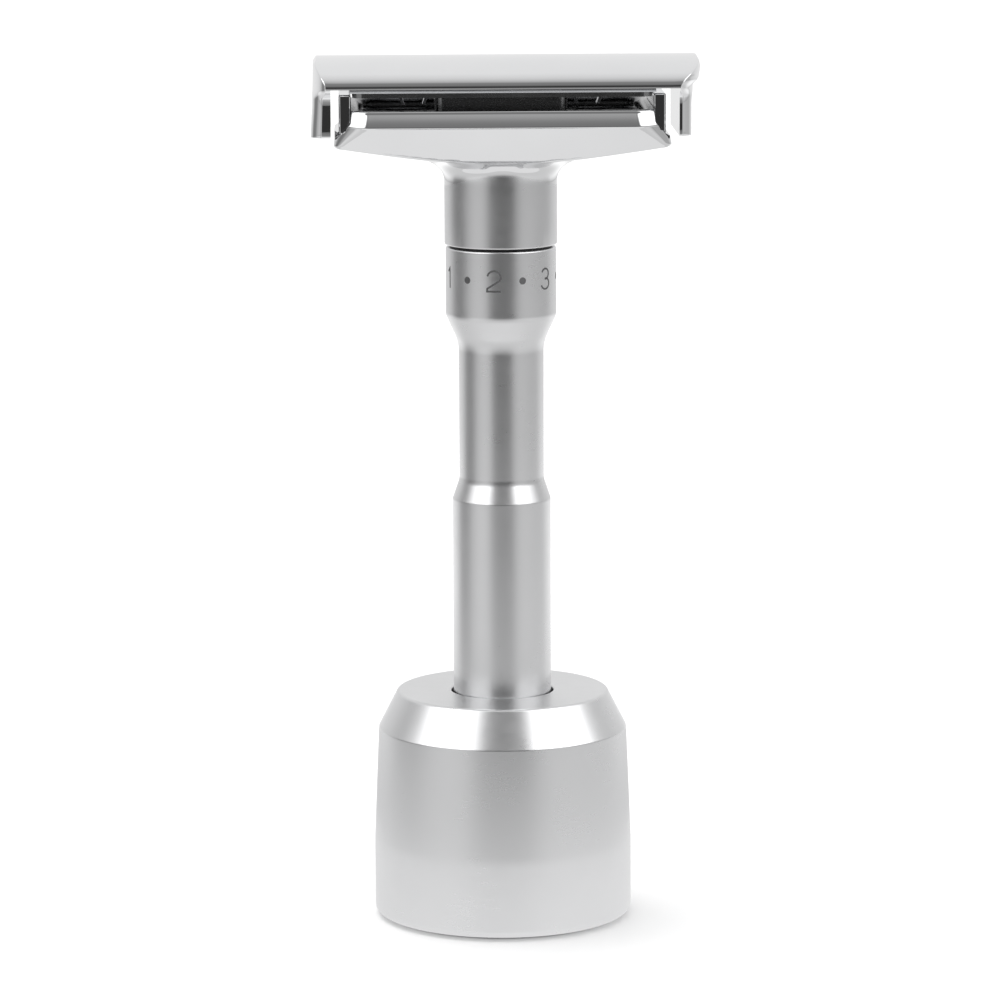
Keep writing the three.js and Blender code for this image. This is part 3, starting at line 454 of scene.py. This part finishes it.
def make_handle():
    low, top = HANDLE_LOW.z, HANDLE_HIGH.z
    grip, waist, bore, boss, web = 6.17, 5.32, 4.3, 5.4, 3.6
    end_bore = bore + 1.1
    grip_top = low + 47.3
    waist_bottom = grip_top + 2.7
    waist_top = waist_bottom + 17.3
    dial_bottom = waist_top + 3.5
    web_top, web_bottom = top - 7.5, top - 17.5
    plug_seat = low + 1.02
    corners = [
        (end_bore, low, 0.0), (grip, low, 0.35), (grip, grip_top + 0.2, 0.6), (waist, waist_bottom, 2.6),
        (waist, waist_top, 5.0), (DIAL_RADIUS, dial_bottom, 1.9), (DIAL_RADIUS, top, 0.24),
        (boss, top, 0.0), (boss, web_top, 0.0), (web, web_top, 0.0), (web, web_bottom, 0.0),
        (bore, web_bottom, 0.0), (bore, plug_seat, 0.0), (end_bore, plug_seat, 0.0),
    ]
    outline = rounded(corners, 10)
    turned("handle_shell", outline, closed=True)
    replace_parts(finish_mesh("handle_shell", "handle", SATIN), "handle_sleeve")
    inner, outer = 5.25, WASHER_HIGH.x
    ring = [(inner, WASHER_LOW.z), (outer, WASHER_LOW.z), (outer, WASHER_HIGH.z), (inner, WASHER_HIGH.z)]
    turned("joint_washer", ring, closed=True)
    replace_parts(finish_mesh("joint_washer", "handle", PLASTIC), "dial_washer")


# Strokes of the dial's numbers, each in a cell one unit high and centred on the origin. A stroke is
# a list of points; ("arc", cx, cy, rx, ry, from, to) adds an elliptical arc, in degrees.
DIGITS = {
    1: [[(-0.15, 0.30), (0.03, 0.5), (0.03, -0.5)]],
    2: [[("arc", 0.0, 0.20, 0.33, 0.30, 172, -38), (-0.34, -0.36), (-0.35, -0.5), (0.32, -0.5)]],
    3: [[("arc", 0.0, 0.245, 0.26, 0.255, 160, -80), (-0.04, 0.0)],
        [(-0.04, 0.0), ("arc", 0.0, -0.235, 0.30, 0.265, 80, -165)]],
    4: [[(0.15, -0.5), (0.15, 0.5), (-0.34, -0.18), (0.34, -0.18)]],
    5: [[(0.28, 0.5), (-0.20, 0.5), (-0.27, 0.02), ("arc", 0.0, -0.17, 0.31, 0.33, 145, -150)]],
    6: [[(0.16, 0.5), ("arc", 0.0, -0.19, 0.31, 0.31, 150, -210)]],
}
DIGIT_HEIGHT = 2.55
DIGIT_STROKE = 0.23
DIGIT_LEVEL = 81.88
DIGIT_AZIMUTH = -9.0     # of the number 2, from the front towards +X
DOT_RADIUS = 0.45


def stroke_points(stroke):
    """Points of one stroke in millimetres."""
    points = []
    for item in stroke:
        if item[0] != "arc":
            goal = Vector(item)
            if points:
                steps = max(1, int((goal - points[-1]).length / 0.06))
                begin = points[-1].copy()
                points += [begin.lerp(goal, k / steps) for k in range(1, steps)]
            points.append(goal)
            continue
        _, cx, cy, rx, ry, start, end = item
        steps = max(6, int(abs(end - start) / 12))
        for k in range(steps + 1):
            angle = math.radians(start + (end - start) * k / steps)
            points.append(Vector((cx + rx * math.cos(angle), cy + ry * math.sin(angle))))
    return [p * DIGIT_HEIGHT for p in points]


def on_dial(point, azimuth, radius, level):
    """A flat (along, up) point wrapped on a cylinder."""
    angle = math.radians(azimuth) + point[0] / radius
    return (radius * math.sin(angle), -radius * math.cos(angle), level + point[1])


def ribbon(points, width, azimuth, radius, level):
    """Vertices and faces of a shallow ribbon along a flat path, wrapped on a cylinder."""
    left, right = [], []
    for i, point in enumerate(points):
        before = points[max(i - 1, 0)]
        after = points[min(i + 1, len(points) - 1)]
        way_in = (point - before).normalized() if i else (after - point).normalized()
        way_out = (after - point).normalized() if i < len(points) - 1 else way_in
        middle = way_in + way_out
        middle = middle.normalized() if middle.length > 1e-6 else way_in
        normal = Vector((-middle.y, middle.x))
        reach = width / 2 / max(0.45, normal.dot(Vector((-way_in.y, way_in.x))))
        left.append(point + normal * reach)
        right.append(point - normal * reach)
    vertices, faces = [], []
    for a, b in zip(left, right):
        for flat, lift in ((a, -0.03), (a, 0.012), (b, 0.012), (b, -0.03)):
            vertices.append(on_dial(flat, azimuth, radius + lift, level))
    for i in range(len(points) - 1):
        for k in range(4):
            n = (k + 1) % 4
            faces.append((4 * i + k, 4 * i + n, 4 * i + 4 + n, 4 * i + 4 + k))
    faces.append((3, 2, 1, 0))
    last = 4 * (len(points) - 1)
    faces.append((last, last + 1, last + 2, last + 3))
    return vertices, faces


def disc(radius_flat, azimuth, radius, level):
    """A round dot wrapped on a cylinder."""
    count = 24
    vertices, faces = [], []
    for lift in (-0.03, 0.012):
        for k in range(count):
            angle = 2 * math.pi * k / count
            flat = (radius_flat * math.cos(angle), radius_flat * math.sin(angle))
            vertices.append(on_dial(flat, azimuth, radius + lift, level))
    for k in range(count):
        n = (k + 1) % count
        faces.append((k, n, count + n, count + k))
    faces.append(tuple(reversed(range(count))))
    faces.append(tuple(range(count, 2 * count)))
    return vertices, faces


def joined(name, parts):
    """One object from several (vertices, faces) parts."""
    vertices, faces = [], []
    for part_vertices, part_faces in parts:
        start = len(vertices)
        vertices += part_vertices
        faces += [tuple(start + i for i in face) for face in part_faces]
    return make_object(name, vertices, faces)


def make_dial_marks():
    parts = []
    for number, strokes in DIGITS.items():
        azimuth = DIGIT_AZIMUTH + 60.0 * (number - 2)
        for stroke in strokes:
            parts.append(ribbon(stroke_points(stroke), DIGIT_STROKE, azimuth, DIAL_RADIUS, DIGIT_LEVEL))
        parts.append(disc(DOT_RADIUS, azimuth + 30.0, DIAL_RADIUS, DIGIT_LEVEL))
    joined("dial_numbers", parts)
    finish_mesh("dial_numbers", "handle", PAINT)
    line = [Vector((0.0, 0.45)), Vector((0.0, 2.1))]
    joined("index_line", [ribbon(line, DIGIT_STROKE, 180.0, NECK_RADIUS, NECK_BOTTOM)])
    finish_mesh("index_line", "guard", PAINT)


# ---------------------------------------------------------------- guard and neck

GUARD_FOOT_X = GUARD_HIGH.x
GUARD_TOP_X = GUARD_FOOT_X - 0.7
GUARD_BAR_Y = GUARD_HIGH.y
EAR_GAP = 0.15           # bed's end to the plate
EAR_LENGTH = 1.5
EAR_HALF_Y = 7.8
EAR_DEPTH = 3.8          # from the guard's top edge to the plate's lower end


def outline_point(half_x, half_y, corner, angle, cut_x=99.0):
    """Where a ray at an angle leaves a rectangle with round corners, cut off at the ends."""
    c, s = abs(math.cos(angle)), abs(math.sin(angle))
    reach = half_x / c if c > 1e-9 else 1e9
    if reach * s > half_y - corner:
        reach = half_y / s if s > 1e-9 else 1e9
        if reach * c > half_x - corner:
            px, py = half_x - corner, half_y - corner
            along = c * px + s * py
            reach = along + math.sqrt(max(0.0, along * along - (px * px + py * py - corner * corner)))
    reach = min(reach, cut_x / max(c, 1e-9))
    return reach * math.cos(angle), reach * math.sin(angle)


def ring_angles():
    """Ray angles, closest together round the corners of the guard's long outline."""
    half_x, half_y, corner = GUARD_TOP_X, GUARD_BAR_Y - 1.0, 3.4
    points = [(half_x, (half_y - corner) * k / 10) for k in range(10)]
    for k in range(40):
        angle = (math.pi / 2) * k / 40
        c, s = math.cos(angle), math.sin(angle)
        points.append((half_x - corner + corner * c, half_y - corner + corner * s))
    points += [((half_x - corner) * (1 - k / 30), half_y) for k in range(30)]
    quarter = [math.atan2(y, x) for x, y in points]
    half = quarter + [math.pi / 2] + [math.pi - a for a in reversed(quarter[1:])]
    return half + [a + math.pi for a in half]


def make_guard():
    """One skin: up the neck and the guard's outside, over the rim, down into the tray and the well."""
    top = GUARD_TOP
    bar_bottom = top - 2.0
    r = NECK_RADIUS
    band_x = GUARD_TOP_X + 0.3
    floor = top - 1.5
    tray_x, tray_y = GUARD_TOP_X - 2.5, GUARD_BAR_Y - 2.3
    levels = []
    # the bar's ends are cut off flat above the foot, and the foot spreads past the cut
    end_cut = curve_through([
        (bar_bottom - 1.5, GUARD_FOOT_X), (bar_bottom - 0.95, GUARD_FOOT_X - 0.8),
        (bar_bottom - 0.3, GUARD_FOOT_X - 1.55), (bar_bottom + 0.6, GUARD_FOOT_X - 2.1),
        (top, GUARD_FOOT_X - 2.2),
    ])

    def level(half_x, half_y, corner, z):
        levels.append((half_x, half_y, corner, z, end_cut(z)))

    for k in range(5):
        angle = (math.pi / 2) * k / 4
        inset = 0.22 * (1 - math.sin(angle))
        level(r - inset, r - inset, r - inset, NECK_BOTTOM + 0.22 * (1 - math.cos(angle)))
    for rise in (3.0, 5.5, 7.6):
        level(r, r, r, NECK_BOTTOM + rise)
    # flare from the round neck into the keel-shaped underside and the sides that lean out
    keel_start, keel_end = NECK_TOP + 2.0, NECK_TOP + 3.8

    def side_y(z):
        return GUARD_BAR_Y - 0.8 * (bar_bottom - z)

    for k in range(1, 17):
        t = k / 16
        z = NECK_TOP - 1.3 + (keel_start - NECK_TOP + 1.3) * t
        half_x = r + 2.9 * t ** 2.6
        half_y = r + (side_y(keel_start) - r) * max(0.0, (t - 0.42) / 0.58) ** 1.8
        level(half_x, half_y, half_y - (half_y - 5.0) * t ** 6, z)
    for k in range(1, 9):
        t = k / 8
        z = keel_start + (keel_end - keel_start) * t
        level(r + 2.9 + (GUARD_FOOT_X - 0.75 - r - 2.9) * t, side_y(z), 5.0 - 4.1 * t ** 0.5, z)
    for k in range(1, 7):
        angle = (math.pi / 2) * k / 6
        z = keel_end + 0.5 * (1 - math.cos(angle))
        level(GUARD_FOOT_X - 0.75 * (1 - math.sin(angle)), side_y(z), 0.9 + 0.5 * k / 6, z)
    # the lower face is very slightly full
    for k in range(1, 15):
        t = k / 14
        z = keel_end + 0.5 + (bar_bottom - 0.05 - keel_end - 0.5) * t
        full = 0.015 * math.sin(math.pi * t)
        half_x = GUARD_FOOT_X + (band_x - GUARD_FOOT_X) * t
        level(half_x, side_y(z) + full - 0.03 * t, 1.4 + 3.1 * t, z)
    for k in range(1, 5):
        t = k / 4
        half_y = GUARD_BAR_Y - 0.03 * (1 - math.sin(math.pi * t / 2))
        level(band_x, half_y, 4.5, bar_bottom - 0.05 + 0.1 * t)
    band = 12
    for k in range(1, band + 1):
        t = k / band
        drop = 0.06 * t + 0.78 * t ** 1.25
        level(band_x - 0.15 * t, GUARD_BAR_Y - drop, 4.5 - 0.1 * t, bar_bottom + 0.05 + 1.65 * t)
    lip_x, lip_y = GUARD_TOP_X + 0.15, GUARD_BAR_Y - 0.84
    for k in range(1, 7):
        angle = (math.pi / 2) * k / 6
        inset = 0.3 * (1 - math.cos(angle))
        level(lip_x - inset, lip_y - inset, 4.3, top - 0.3 * (1 - math.sin(angle)))
    for k in range(8):
        angle = (math.pi / 2) * k / 7
        inset = 0.95 * (1 - math.sin(angle))
        level(tray_x + inset, tray_y + inset, 1.8 + inset, top - 0.85 * (1 - math.cos(angle)))
    for k in range(1, 6):
        angle = (math.pi / 2) * k / 5
        inset = 0.4 * (1 - math.cos(angle))
        level(tray_x - inset, tray_y - inset, 1.8 - inset / 2, floor + 0.4 * (1 - math.sin(angle)))
    well = 5.55
    for share in (0.5, 0.85):
        half_x = tray_x + (well - tray_x) * share
        half_y = tray_y + (well - tray_y) * share
        level(half_x, half_y, 1.8 + (min(half_x, half_y) - 1.8) * share, floor)
    level(well + 0.12, well + 0.12, well + 0.12, floor)
    level(well, well, well, floor - 0.12)
    level(well, well, well, floor - 5.0)
    angles = ring_angles()
    rings = []
    for half_x, half_y, corner, z, cut_x in levels:
        corner = min(corner, half_x, half_y)
        rings.append([(*outline_point(half_x, half_y, corner, a, cut_x), z) for a in angles])
    guard = lofted("guard_shell", rings)
    cutters = []
    for sx in (-1, 1):
        for sy in (-1, 1):
            x = sorted((sx * 9.9, sx * 14.0))
            y = sorted((sy * 8.85, sy * 6.9))
            cutters.append(block("drain_pocket", (x[0], y[0], floor - 2.2), (x[1], y[1], floor + 0.3)))
            y = sorted((sy * 7.85, sy * 5.9))
            cutters.append(block("drain_slot", (x[0], y[0], NECK_TOP), (x[1], y[1], floor - 1.2)))
    cut(guard, cutters)
    finish_mesh("guard_shell", "guard", GUARD_METAL, 40.0)
    add_weighted_normals(guard)
    for side, name in ((1, "ear_right"), (-1, "ear_left")):
        x = sorted((side * (BED_HIGH.x + EAR_GAP), side * (BED_HIGH.x + EAR_GAP + EAR_LENGTH)))
        ear = block(name, (x[0], -EAR_HALF_Y, top - EAR_DEPTH), (x[1], EAR_HALF_Y, GUARD_HIGH.z))
        finish_mesh(name, "guard", POLISHED)
        add_bevel(ear, 0.25, 30.0, 4)
    bore, sleeve, boss = 2.2, 3.5, 5.2
    clip_floor, seal_floor = 3.0, 4.36
    clip_low, clip_high, seal_low, seal_high = 66.56, 67.26, 81.85, 82.95
    tube_bottom, tube_top, boss_bottom = 65.56, NECK_BOTTOM + 0.3, 78.5
    spigot = [
        (bore, tube_bottom, 0.0), (sleeve, tube_bottom, 0.2), (sleeve, clip_low, 0.0),
        (clip_floor, clip_low, 0.0), (clip_floor, clip_high, 0.0), (sleeve, clip_high, 0.0),
        (sleeve, boss_bottom, 0.3), (boss, boss_bottom, 0.2), (boss, seal_low, 0.05),
        (seal_floor, seal_low, 0.0), (seal_floor, seal_high, 0.0), (boss, seal_high, 0.05),
        (boss, tube_top, 0.0), (bore, tube_top, 0.0),
    ]
    turned("spigot_tube", rounded(spigot, 3), 96, closed=True)
    finish_mesh("spigot_tube", "guard", STEEL)
    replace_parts(bpy.data.objects["spigot_tube"], "guard_body")


# ---------------------------------------------------------------- blade

def bend_point(along, radius):
    """Point at a distance along the bend, as (y, z)."""
    angle = along / BEND
    return radius * math.sin(angle), BEND_CENTRE + radius * math.cos(angle)


def make_blade():
    """A flat blade is cut out first and then bent."""
    half_y = BEND * math.asin(BLADE_CHORD / (BEND + 0.15))
    thick = 0.1
    rows = 72
    ring_xy = []
    for k in range(rows + 1):
        ring_xy.append(-half_y + 2 * half_y * k / rows)
    # ground edges: the section thins towards both cutting edges
    rings = []
    for x in (-BLADE_HALF, BLADE_HALF):
        upper = [(x, y, thick * min(1.0, 0.15 + (half_y - abs(y)) / 0.7)) for y in ring_xy]
        lower = [(x, y, 0.0) for y in reversed(ring_xy)]
        rings.append(upper + lower)
    blade = lofted("blade_sheet", rings)
    notch_x, notch_y = 2.7, 4.2
    cutters = []
    for sx in (-1, 1):
        for sy in (-1, 1):
            x = sorted((sx * (BLADE_HALF - notch_x), sx * (BLADE_HALF + 1)))
            y = sorted((sy * (half_y - notch_y), sy * (half_y + 1)))
            cutters.append(block("notch", (x[0], y[0], -1), (x[1], y[1], 1)))
    slot = [outline_point(16.5, 1.7, 0.8, 2 * math.pi * (k + 0.5) / 96) for k in range(96)]
    cutters.append(lofted("slot", [[(x, y, z) for x, y in slot] for z in (-1, 1)]))
    hole = [(3.1 * math.cos(2 * math.pi * k / 48), 3.1 * math.sin(2 * math.pi * k / 48)) for k in range(48)]
    cutters.append(lofted("hole", [[(x, y, z) for x, y in hole] for z in (-1.1, 1.1)]))
    cut(blade, cutters)
    for vertex in blade.data.vertices:
        flat = vertex.co / MM
        radius = BEND + 0.05 + max(0.0, min(thick, flat.z))
        y, z = bend_point(flat.y, radius)
        vertex.co = Vector((flat.x, y, z)) * MM
    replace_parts(finish_mesh("blade_sheet", "blade", BLADE_METAL, 30.0), "razor_blade")


# ---------------------------------------------------------------- cap

CAP_CROWN = CAP_HIGH.z
CAP_FOOT = CAP_LOW.z
CAP_WALL = 23.4
CAP_CREASE = 21.4        # where the ends' curve starts at the lip
WALL_FLAT = 6.6          # flat half-width of an end wall
DOME_FLAT = 3.0
LEFT_WALL_INNER = 0.65 - CAP_INNER  # left wall's inner face in front of and behind the blade's end
CAP_LIP_HEIGHT = 0.3
CAP_ARCH = BEND + 0.2    # radius of the cap's underside
CAP_BASE = BEND_CENTRE + math.sqrt(CAP_ARCH ** 2 - CAP_LIP ** 2) + CAP_LIP_HEIGHT
RIGHT_END = curve_through([
    (CAP_FOOT, CAP_WALL), (CAP_BASE - 2.0, CAP_WALL), (CAP_BASE - 0.3, CAP_WALL + 0.35),
    (CAP_BASE + 0.7, CAP_WALL + 1.1), (CAP_BASE + 1.6, CAP_HIGH.x - 0.06), (CAP_BASE + 2.0, CAP_HIGH.x),
    (CAP_BASE + 2.5, CAP_HIGH.x - 0.12), (CAP_CROWN, CAP_WALL + 0.95),
])
LEFT_END = curve_through([
    (CAP_FOOT, CAP_WALL + 0.22), (CAP_FOOT + 4.5, CAP_WALL), (CAP_BASE + 2.2, CAP_WALL - 0.08),
    (CAP_CROWN, CAP_WALL - 0.5),
])


def end_x(reach, y, half_y, flat):
    """How far out an end stands at y. It is flat across the middle and curves in towards the front."""
    t = max(0.0, abs(y) - flat) / max(half_y - flat, 1e-6)
    return CAP_CREASE + (reach - CAP_CREASE) * math.sqrt(max(0.0, 1.0 - min(1.0, t) ** 2))


def cap_level(z, half_y, plan_y, flat, fillet):
    """One level of the cap's outer skin. Front and back are straight and the ends curve."""
    sides, round_steps, end_steps = 40, 5, 28
    edge_y = half_y - fillet
    right = end_x(RIGHT_END(z), edge_y, plan_y, flat)
    left = -end_x(LEFT_END(z), edge_y, plan_y, flat)

    def turn(start, corner, end):
        """Quarter round from start towards end, leaving the end out."""
        for k in range(round_steps):
            t = k / round_steps
            points.append(tuple(
                (1 - t) ** 2 * a + 2 * t * (1 - t) * b + t * t * c for a, b, c in zip(start, corner, end)
            ))

    points = []
    for sign, reach, edge, other in ((1, RIGHT_END(z), right, left), (-1, LEFT_END(z), left, right)):
        start, end = other + sign * fillet, edge - sign * fillet
        points += [(start + (end - start) * k / sides, -sign * half_y) for k in range(sides)]
        turn((end, -sign * half_y), (edge, -sign * half_y), (edge, -sign * edge_y))
        for k in range(end_steps):
            y = -sign * edge_y * math.cos(math.pi * k / end_steps)
            points.append((sign * end_x(reach, y, plan_y, flat), y))
        turn((edge, sign * edge_y), (edge, sign * half_y), (end, sign * half_y))
    return [(x, y, z) for x, y in points]


def make_cap():
    """The outer skin is lofted in levels, and the hollow between the end walls is cut out of it."""
    wall_y = CAP_LIP - 1.65
    lip_bottom = CAP_BASE - CAP_LIP_HEIGHT
    flare = 1.3
    rings = []
    for k in range(5):
        angle = (math.pi / 2) * k / 4
        half_y = wall_y - 0.25 * (1 - math.sin(angle))
        rings.append(cap_level(CAP_FOOT + 0.3 * (1 - math.cos(angle)), half_y, half_y, WALL_FLAT, 0.2))
    for k in range(1, 6):
        z = CAP_FOOT + 0.3 + (lip_bottom - flare - CAP_FOOT - 0.3) * k / 5
        rings.append(cap_level(z, wall_y, wall_y, WALL_FLAT, 0.2))
    for k in range(1, 9):
        ease = (k / 8) ** 2 * (3 - 2 * k / 8)
        half_y = wall_y + (CAP_LIP - wall_y) * ease
        flat = WALL_FLAT + (DOME_FLAT - WALL_FLAT) * ease
        rings.append(cap_level(lip_bottom - flare + flare * k / 8, half_y, half_y, flat, 0.2))
    dome = 40
    for k in range(dome):
        angle = (math.pi / 2) * k / dome
        half_y = CAP_LIP * math.cos(angle)
        z = CAP_BASE + (CAP_CROWN - CAP_BASE) * math.sin(angle)
        rings.append(cap_level(z, half_y, CAP_LIP, DOME_FLAT, min(0.22, half_y / 2)))
    cap = lofted("cap_shell", rings)

    def hollow(half_y):
        arch = [bend_point(half_y * k / 30, CAP_ARCH) for k in range(-30, 31)]
        return arch + [(half_y + 0.5, CAP_FOOT - 2.0), (-half_y - 0.5, CAP_FOOT - 2.0)]

    cutters = [
        prism_x("hollow", hollow(13.0), LEFT_WALL_INNER, CAP_INNER),
        prism_x("end_hollow", hollow(6.9), -CAP_INNER, LEFT_WALL_INNER + 1.0),
    ]
    for sign in (-1, 1):
        x = sorted((sign * 13.8, sign * 16.4))
        cutters.append(block("lug_pocket", (x[0], -1.7, CAP_BASE - 5.0), (x[1], 1.7, GUARD_TOP + 4.7)))
    cut(cap, cutters)
    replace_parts(finish_mesh("cap_shell", "cap", POLISHED, 38.0), "cap")
    add_bevel(cap, 0.07, 38.0, 2)


# ---------------------------------------------------------------- carried-over CAD nodes

def dress_cad_nodes():
    """Materials, crisp shading and small edge rounds for the nodes that stay."""
    slots = {part["node"]: part["material_slot"] for part in frame["record"]["subparts"]}
    rounds = {"blade_bed": 0.14, "cap_clip_left": 0.06, "cap_clip_right": 0.06, "handle_end_plug": 0.12,
              "adjuster_nut": 0.12, "travel_stop_nut": 0.12, "bed_screw": 0.05}
    for name, obj in frame["nodes"].items():
        # the bed takes the darker chrome that paints its shade
        material = SHADED_BED_METAL if name == "blade_bed" else SLOT_MATERIALS[slots[name]]
        if not obj.material_slots:
            obj.data.materials.append(material)
        for material_slot in obj.material_slots:
            material_slot.material = material
        if name in rounds:
            add_bevel(obj, rounds[name], 30.0)


# ---------------------------------------------------------------- studio

TARGET = Vector((0.0, 0.0, 53.9)) * MM
CAMERA_AZIMUTH = math.radians(-1.8)
CAMERA_ELEVATION = math.radians(9.5)
CAMERA_DISTANCE = 0.631
CAMERA_ROLL = math.radians(0.22)
CAMERA_SIDE = -0.00085   # the razor stands a little right of the picture's middle


def make_camera():
    data = bpy.data.cameras.new("camera")
    data.sensor_width = 36.0
    data.lens = 181.8
    data.clip_start = 0.05
    data.clip_end = 50.0
    camera = bpy.data.objects.new("camera", data)
    bpy.context.scene.collection.objects.link(camera)
    back = Vector((
        math.sin(CAMERA_AZIMUTH) * math.cos(CAMERA_ELEVATION),
        -math.cos(CAMERA_AZIMUTH) * math.cos(CAMERA_ELEVATION),
        math.sin(CAMERA_ELEVATION),
    ))
    side = Vector((math.cos(CAMERA_AZIMUTH), math.sin(CAMERA_AZIMUTH), 0.0))
    camera.location = TARGET + back * CAMERA_DISTANCE + side * CAMERA_SIDE
    look = (-back).to_track_quat("-Z", "Y")
    camera.rotation_mode = "QUATERNION"
    roll = Vector((0.0, 0.0, 1.0))
    camera.rotation_quaternion = look @ Quaternion(roll, -CAMERA_ROLL)
    bpy.context.scene.camera = camera


# Brightness of what the chrome reflects. Round the horizon and over the far floor, as (azimuth from
# the front in degrees, value); round the level of the two softboxes beside the camera; and over the
# top of the set from the front (elevation 0) to the back (180).
HORIZON = [(-180, 0.85), (-150, 0.80), (-120, 0.50), (-97, 0.21), (-72, 0.46), (-45, 0.58), (-14, 0.22),
           (12, 0.20), (46, 0.52), (78, 0.48), (98, 0.47), (125, 0.68), (150, 0.80), (180, 0.85)]
BOXES = [(-180, 0.85), (-120, 0.75), (-95, 0.9), (-86, 2.3), (-36, 2.3), (-22, 0.0),
         (22, 0.0), (36, 2.3), (88, 2.3), (98, 0.9), (120, 0.75), (180, 0.85)]
OVER_TOP = [(-10, 0.03), (2, 0.04), (12, 0.14), (22, 0.20), (46, 0.24), (58, 0.42), (75, 0.58), (90, 0.70),
            (115, 0.82), (160, 0.94), (180, 0.95)]
NEAR_FLOOR = 0.92
TENT_RADIUS = 3.6


def glow_object(name, obj, build):
    """Gives a stage object an emission material that only reflections see."""
    n = Nodes(name, emission=True)
    n.link(build(n), n.shader.inputs["Strength"])
    obj.name = name
    obj.data.materials.append(n.material)
    for ray in ("camera", "shadow", "diffuse"):
        setattr(obj, "visible_" + ray, False)


def along(n, stops, angle, start, end):
    """A smooth value through (angle in degrees, value) stops, for an angle in radians."""
    ramp = n.add("ShaderNodeFloatCurve")
    curve = ramp.mapping.curves[0]
    peak = max(value for _, value in stops)
    for _ in range(len(stops) - 2):
        curve.points.new(0.5, 0.5)
    for point, (degrees, value) in zip(curve.points, stops):
        point.location = ((degrees - start) / (end - start), value / peak)
        point.handle_type = "AUTO_CLAMPED"
    ramp.mapping.update()
    n.link(n.spread(angle, 0.0, 1.0, math.radians(start), math.radians(end)), ramp.inputs["Value"])
    return n.math("MULTIPLY", ramp.outputs["Value"], peak)


def azimuth_of(n, x, y):
    return n.math("ARCTAN2", x, n.math("MULTIPLY", y, -1.0))


def tent_glow(n):
    """Dark front and bright back along the middle, softboxes at both sides of it, even ceiling."""
    unit = n.add("ShaderNodeVectorMath", operation="NORMALIZE")
    n.link(n.place, unit.inputs[0])
    split = n.add("ShaderNodeSeparateXYZ")
    n.link(unit.outputs["Vector"], split.inputs["Vector"])
    x, y, z = split.outputs
    azimuth = azimuth_of(n, x, y)
    low = along(n, HORIZON, azimuth, -180, 180)
    boxes = along(n, BOXES, azimuth, -180, 180)
    over = along(n, OVER_TOP, n.math("ARCTAN2", z, n.math("MULTIPLY", y, -1.0)), -10, 180)
    in_middle = n.smooth(n.math("ABSOLUTE", azimuth), math.radians(32), math.radians(20))
    low = n.blend(in_middle, low, over)
    boxes = n.blend(in_middle, boxes, over)
    side = n.blend(n.smooth(z, 0.26, 0.42), low, boxes)
    return n.blend(n.smooth(z, 0.86, 0.97), side, over)


def floor_glow(n):
    """Bright floor near the stand that falls away towards the camera."""
    split = n.add("ShaderNodeSeparateXYZ")
    n.link(n.place, split.inputs["Vector"])
    x, y, _ = split.outputs
    radius = n.math("SQRT", n.math("ADD", n.math("MULTIPLY", x, x), n.math("MULTIPLY", y, y)))
    far = along(n, HORIZON, azimuth_of(n, x, y), -180, 180)
    far = n.math("MULTIPLY", far, n.spread(radius, 1.7, 0.85, 0.15, 0.55))
    near = n.blend(n.smooth(radius, 0.30, 0.075), far, NEAR_FLOOR * 0.8)
    return n.blend(n.smooth(radius, 0.068, 0.062), near, NEAR_FLOOR)


def make_studio():
    """White sweep and pale floor for the camera. Reflections see a painted tent and floor instead."""
    scene = bpy.context.scene
    scene.view_settings.view_transform = "Standard"
    world = bpy.data.worlds.new("world")
    scene.world = world
    world.use_nodes = True
    background = world.node_tree.nodes["Background"]
    background.inputs["Color"].default_value = (1.0, 1.0, 1.0, 1.0)
    background.inputs["Strength"].default_value = 1.0

    bpy.ops.mesh.primitive_circle_add(vertices=64, radius=4.0, fill_type="NGON")
    floor = bpy.context.object
    floor.name = "floor"
    material = bpy.data.materials.new("floor")
    material.use_nodes = True
    shader = material.node_tree.nodes["Principled BSDF"]
    shader.inputs["Base Color"].default_value = (0.95, 0.95, 0.95, 1.0)
    shader.inputs["Roughness"].default_value = 0.9
    shader.inputs["Specular IOR Level"].default_value = 0.1
    floor.data.materials.append(material)
    floor.visible_glossy = False  # reflections see floor_glow

    bpy.ops.mesh.primitive_uv_sphere_add(segments=64, ring_count=32, radius=TENT_RADIUS)
    glow_object("tent", bpy.context.object, tent_glow)
    bpy.ops.mesh.primitive_circle_add(vertices=64, radius=0.61, fill_type="NGON")
    glow_object("floor_glow", bpy.context.object, floor_glow)

    light = bpy.data.lights.new("sky_light", "AREA")
    light.shape = "DISK"
    light.size = 1.6
    light.energy = 14.0
    lamp = bpy.data.objects.new("sky_light", light)
    scene.collection.objects.link(lamp)
    lamp.location = (-0.5, 0.3, 1.9)
    lamp.rotation_mode = "QUATERNION"
    lamp.rotation_quaternion = (lamp.location - TARGET).to_track_quat("Z", "Y")
    lamp.visible_glossy = False
    lamp.visible_camera = False


# ---------------------------------------------------------------- build

make_camera()
make_stand()
make_handle()
make_dial_marks()
make_guard()
make_blade()
make_cap()
dress_cad_nodes()
make_studio()
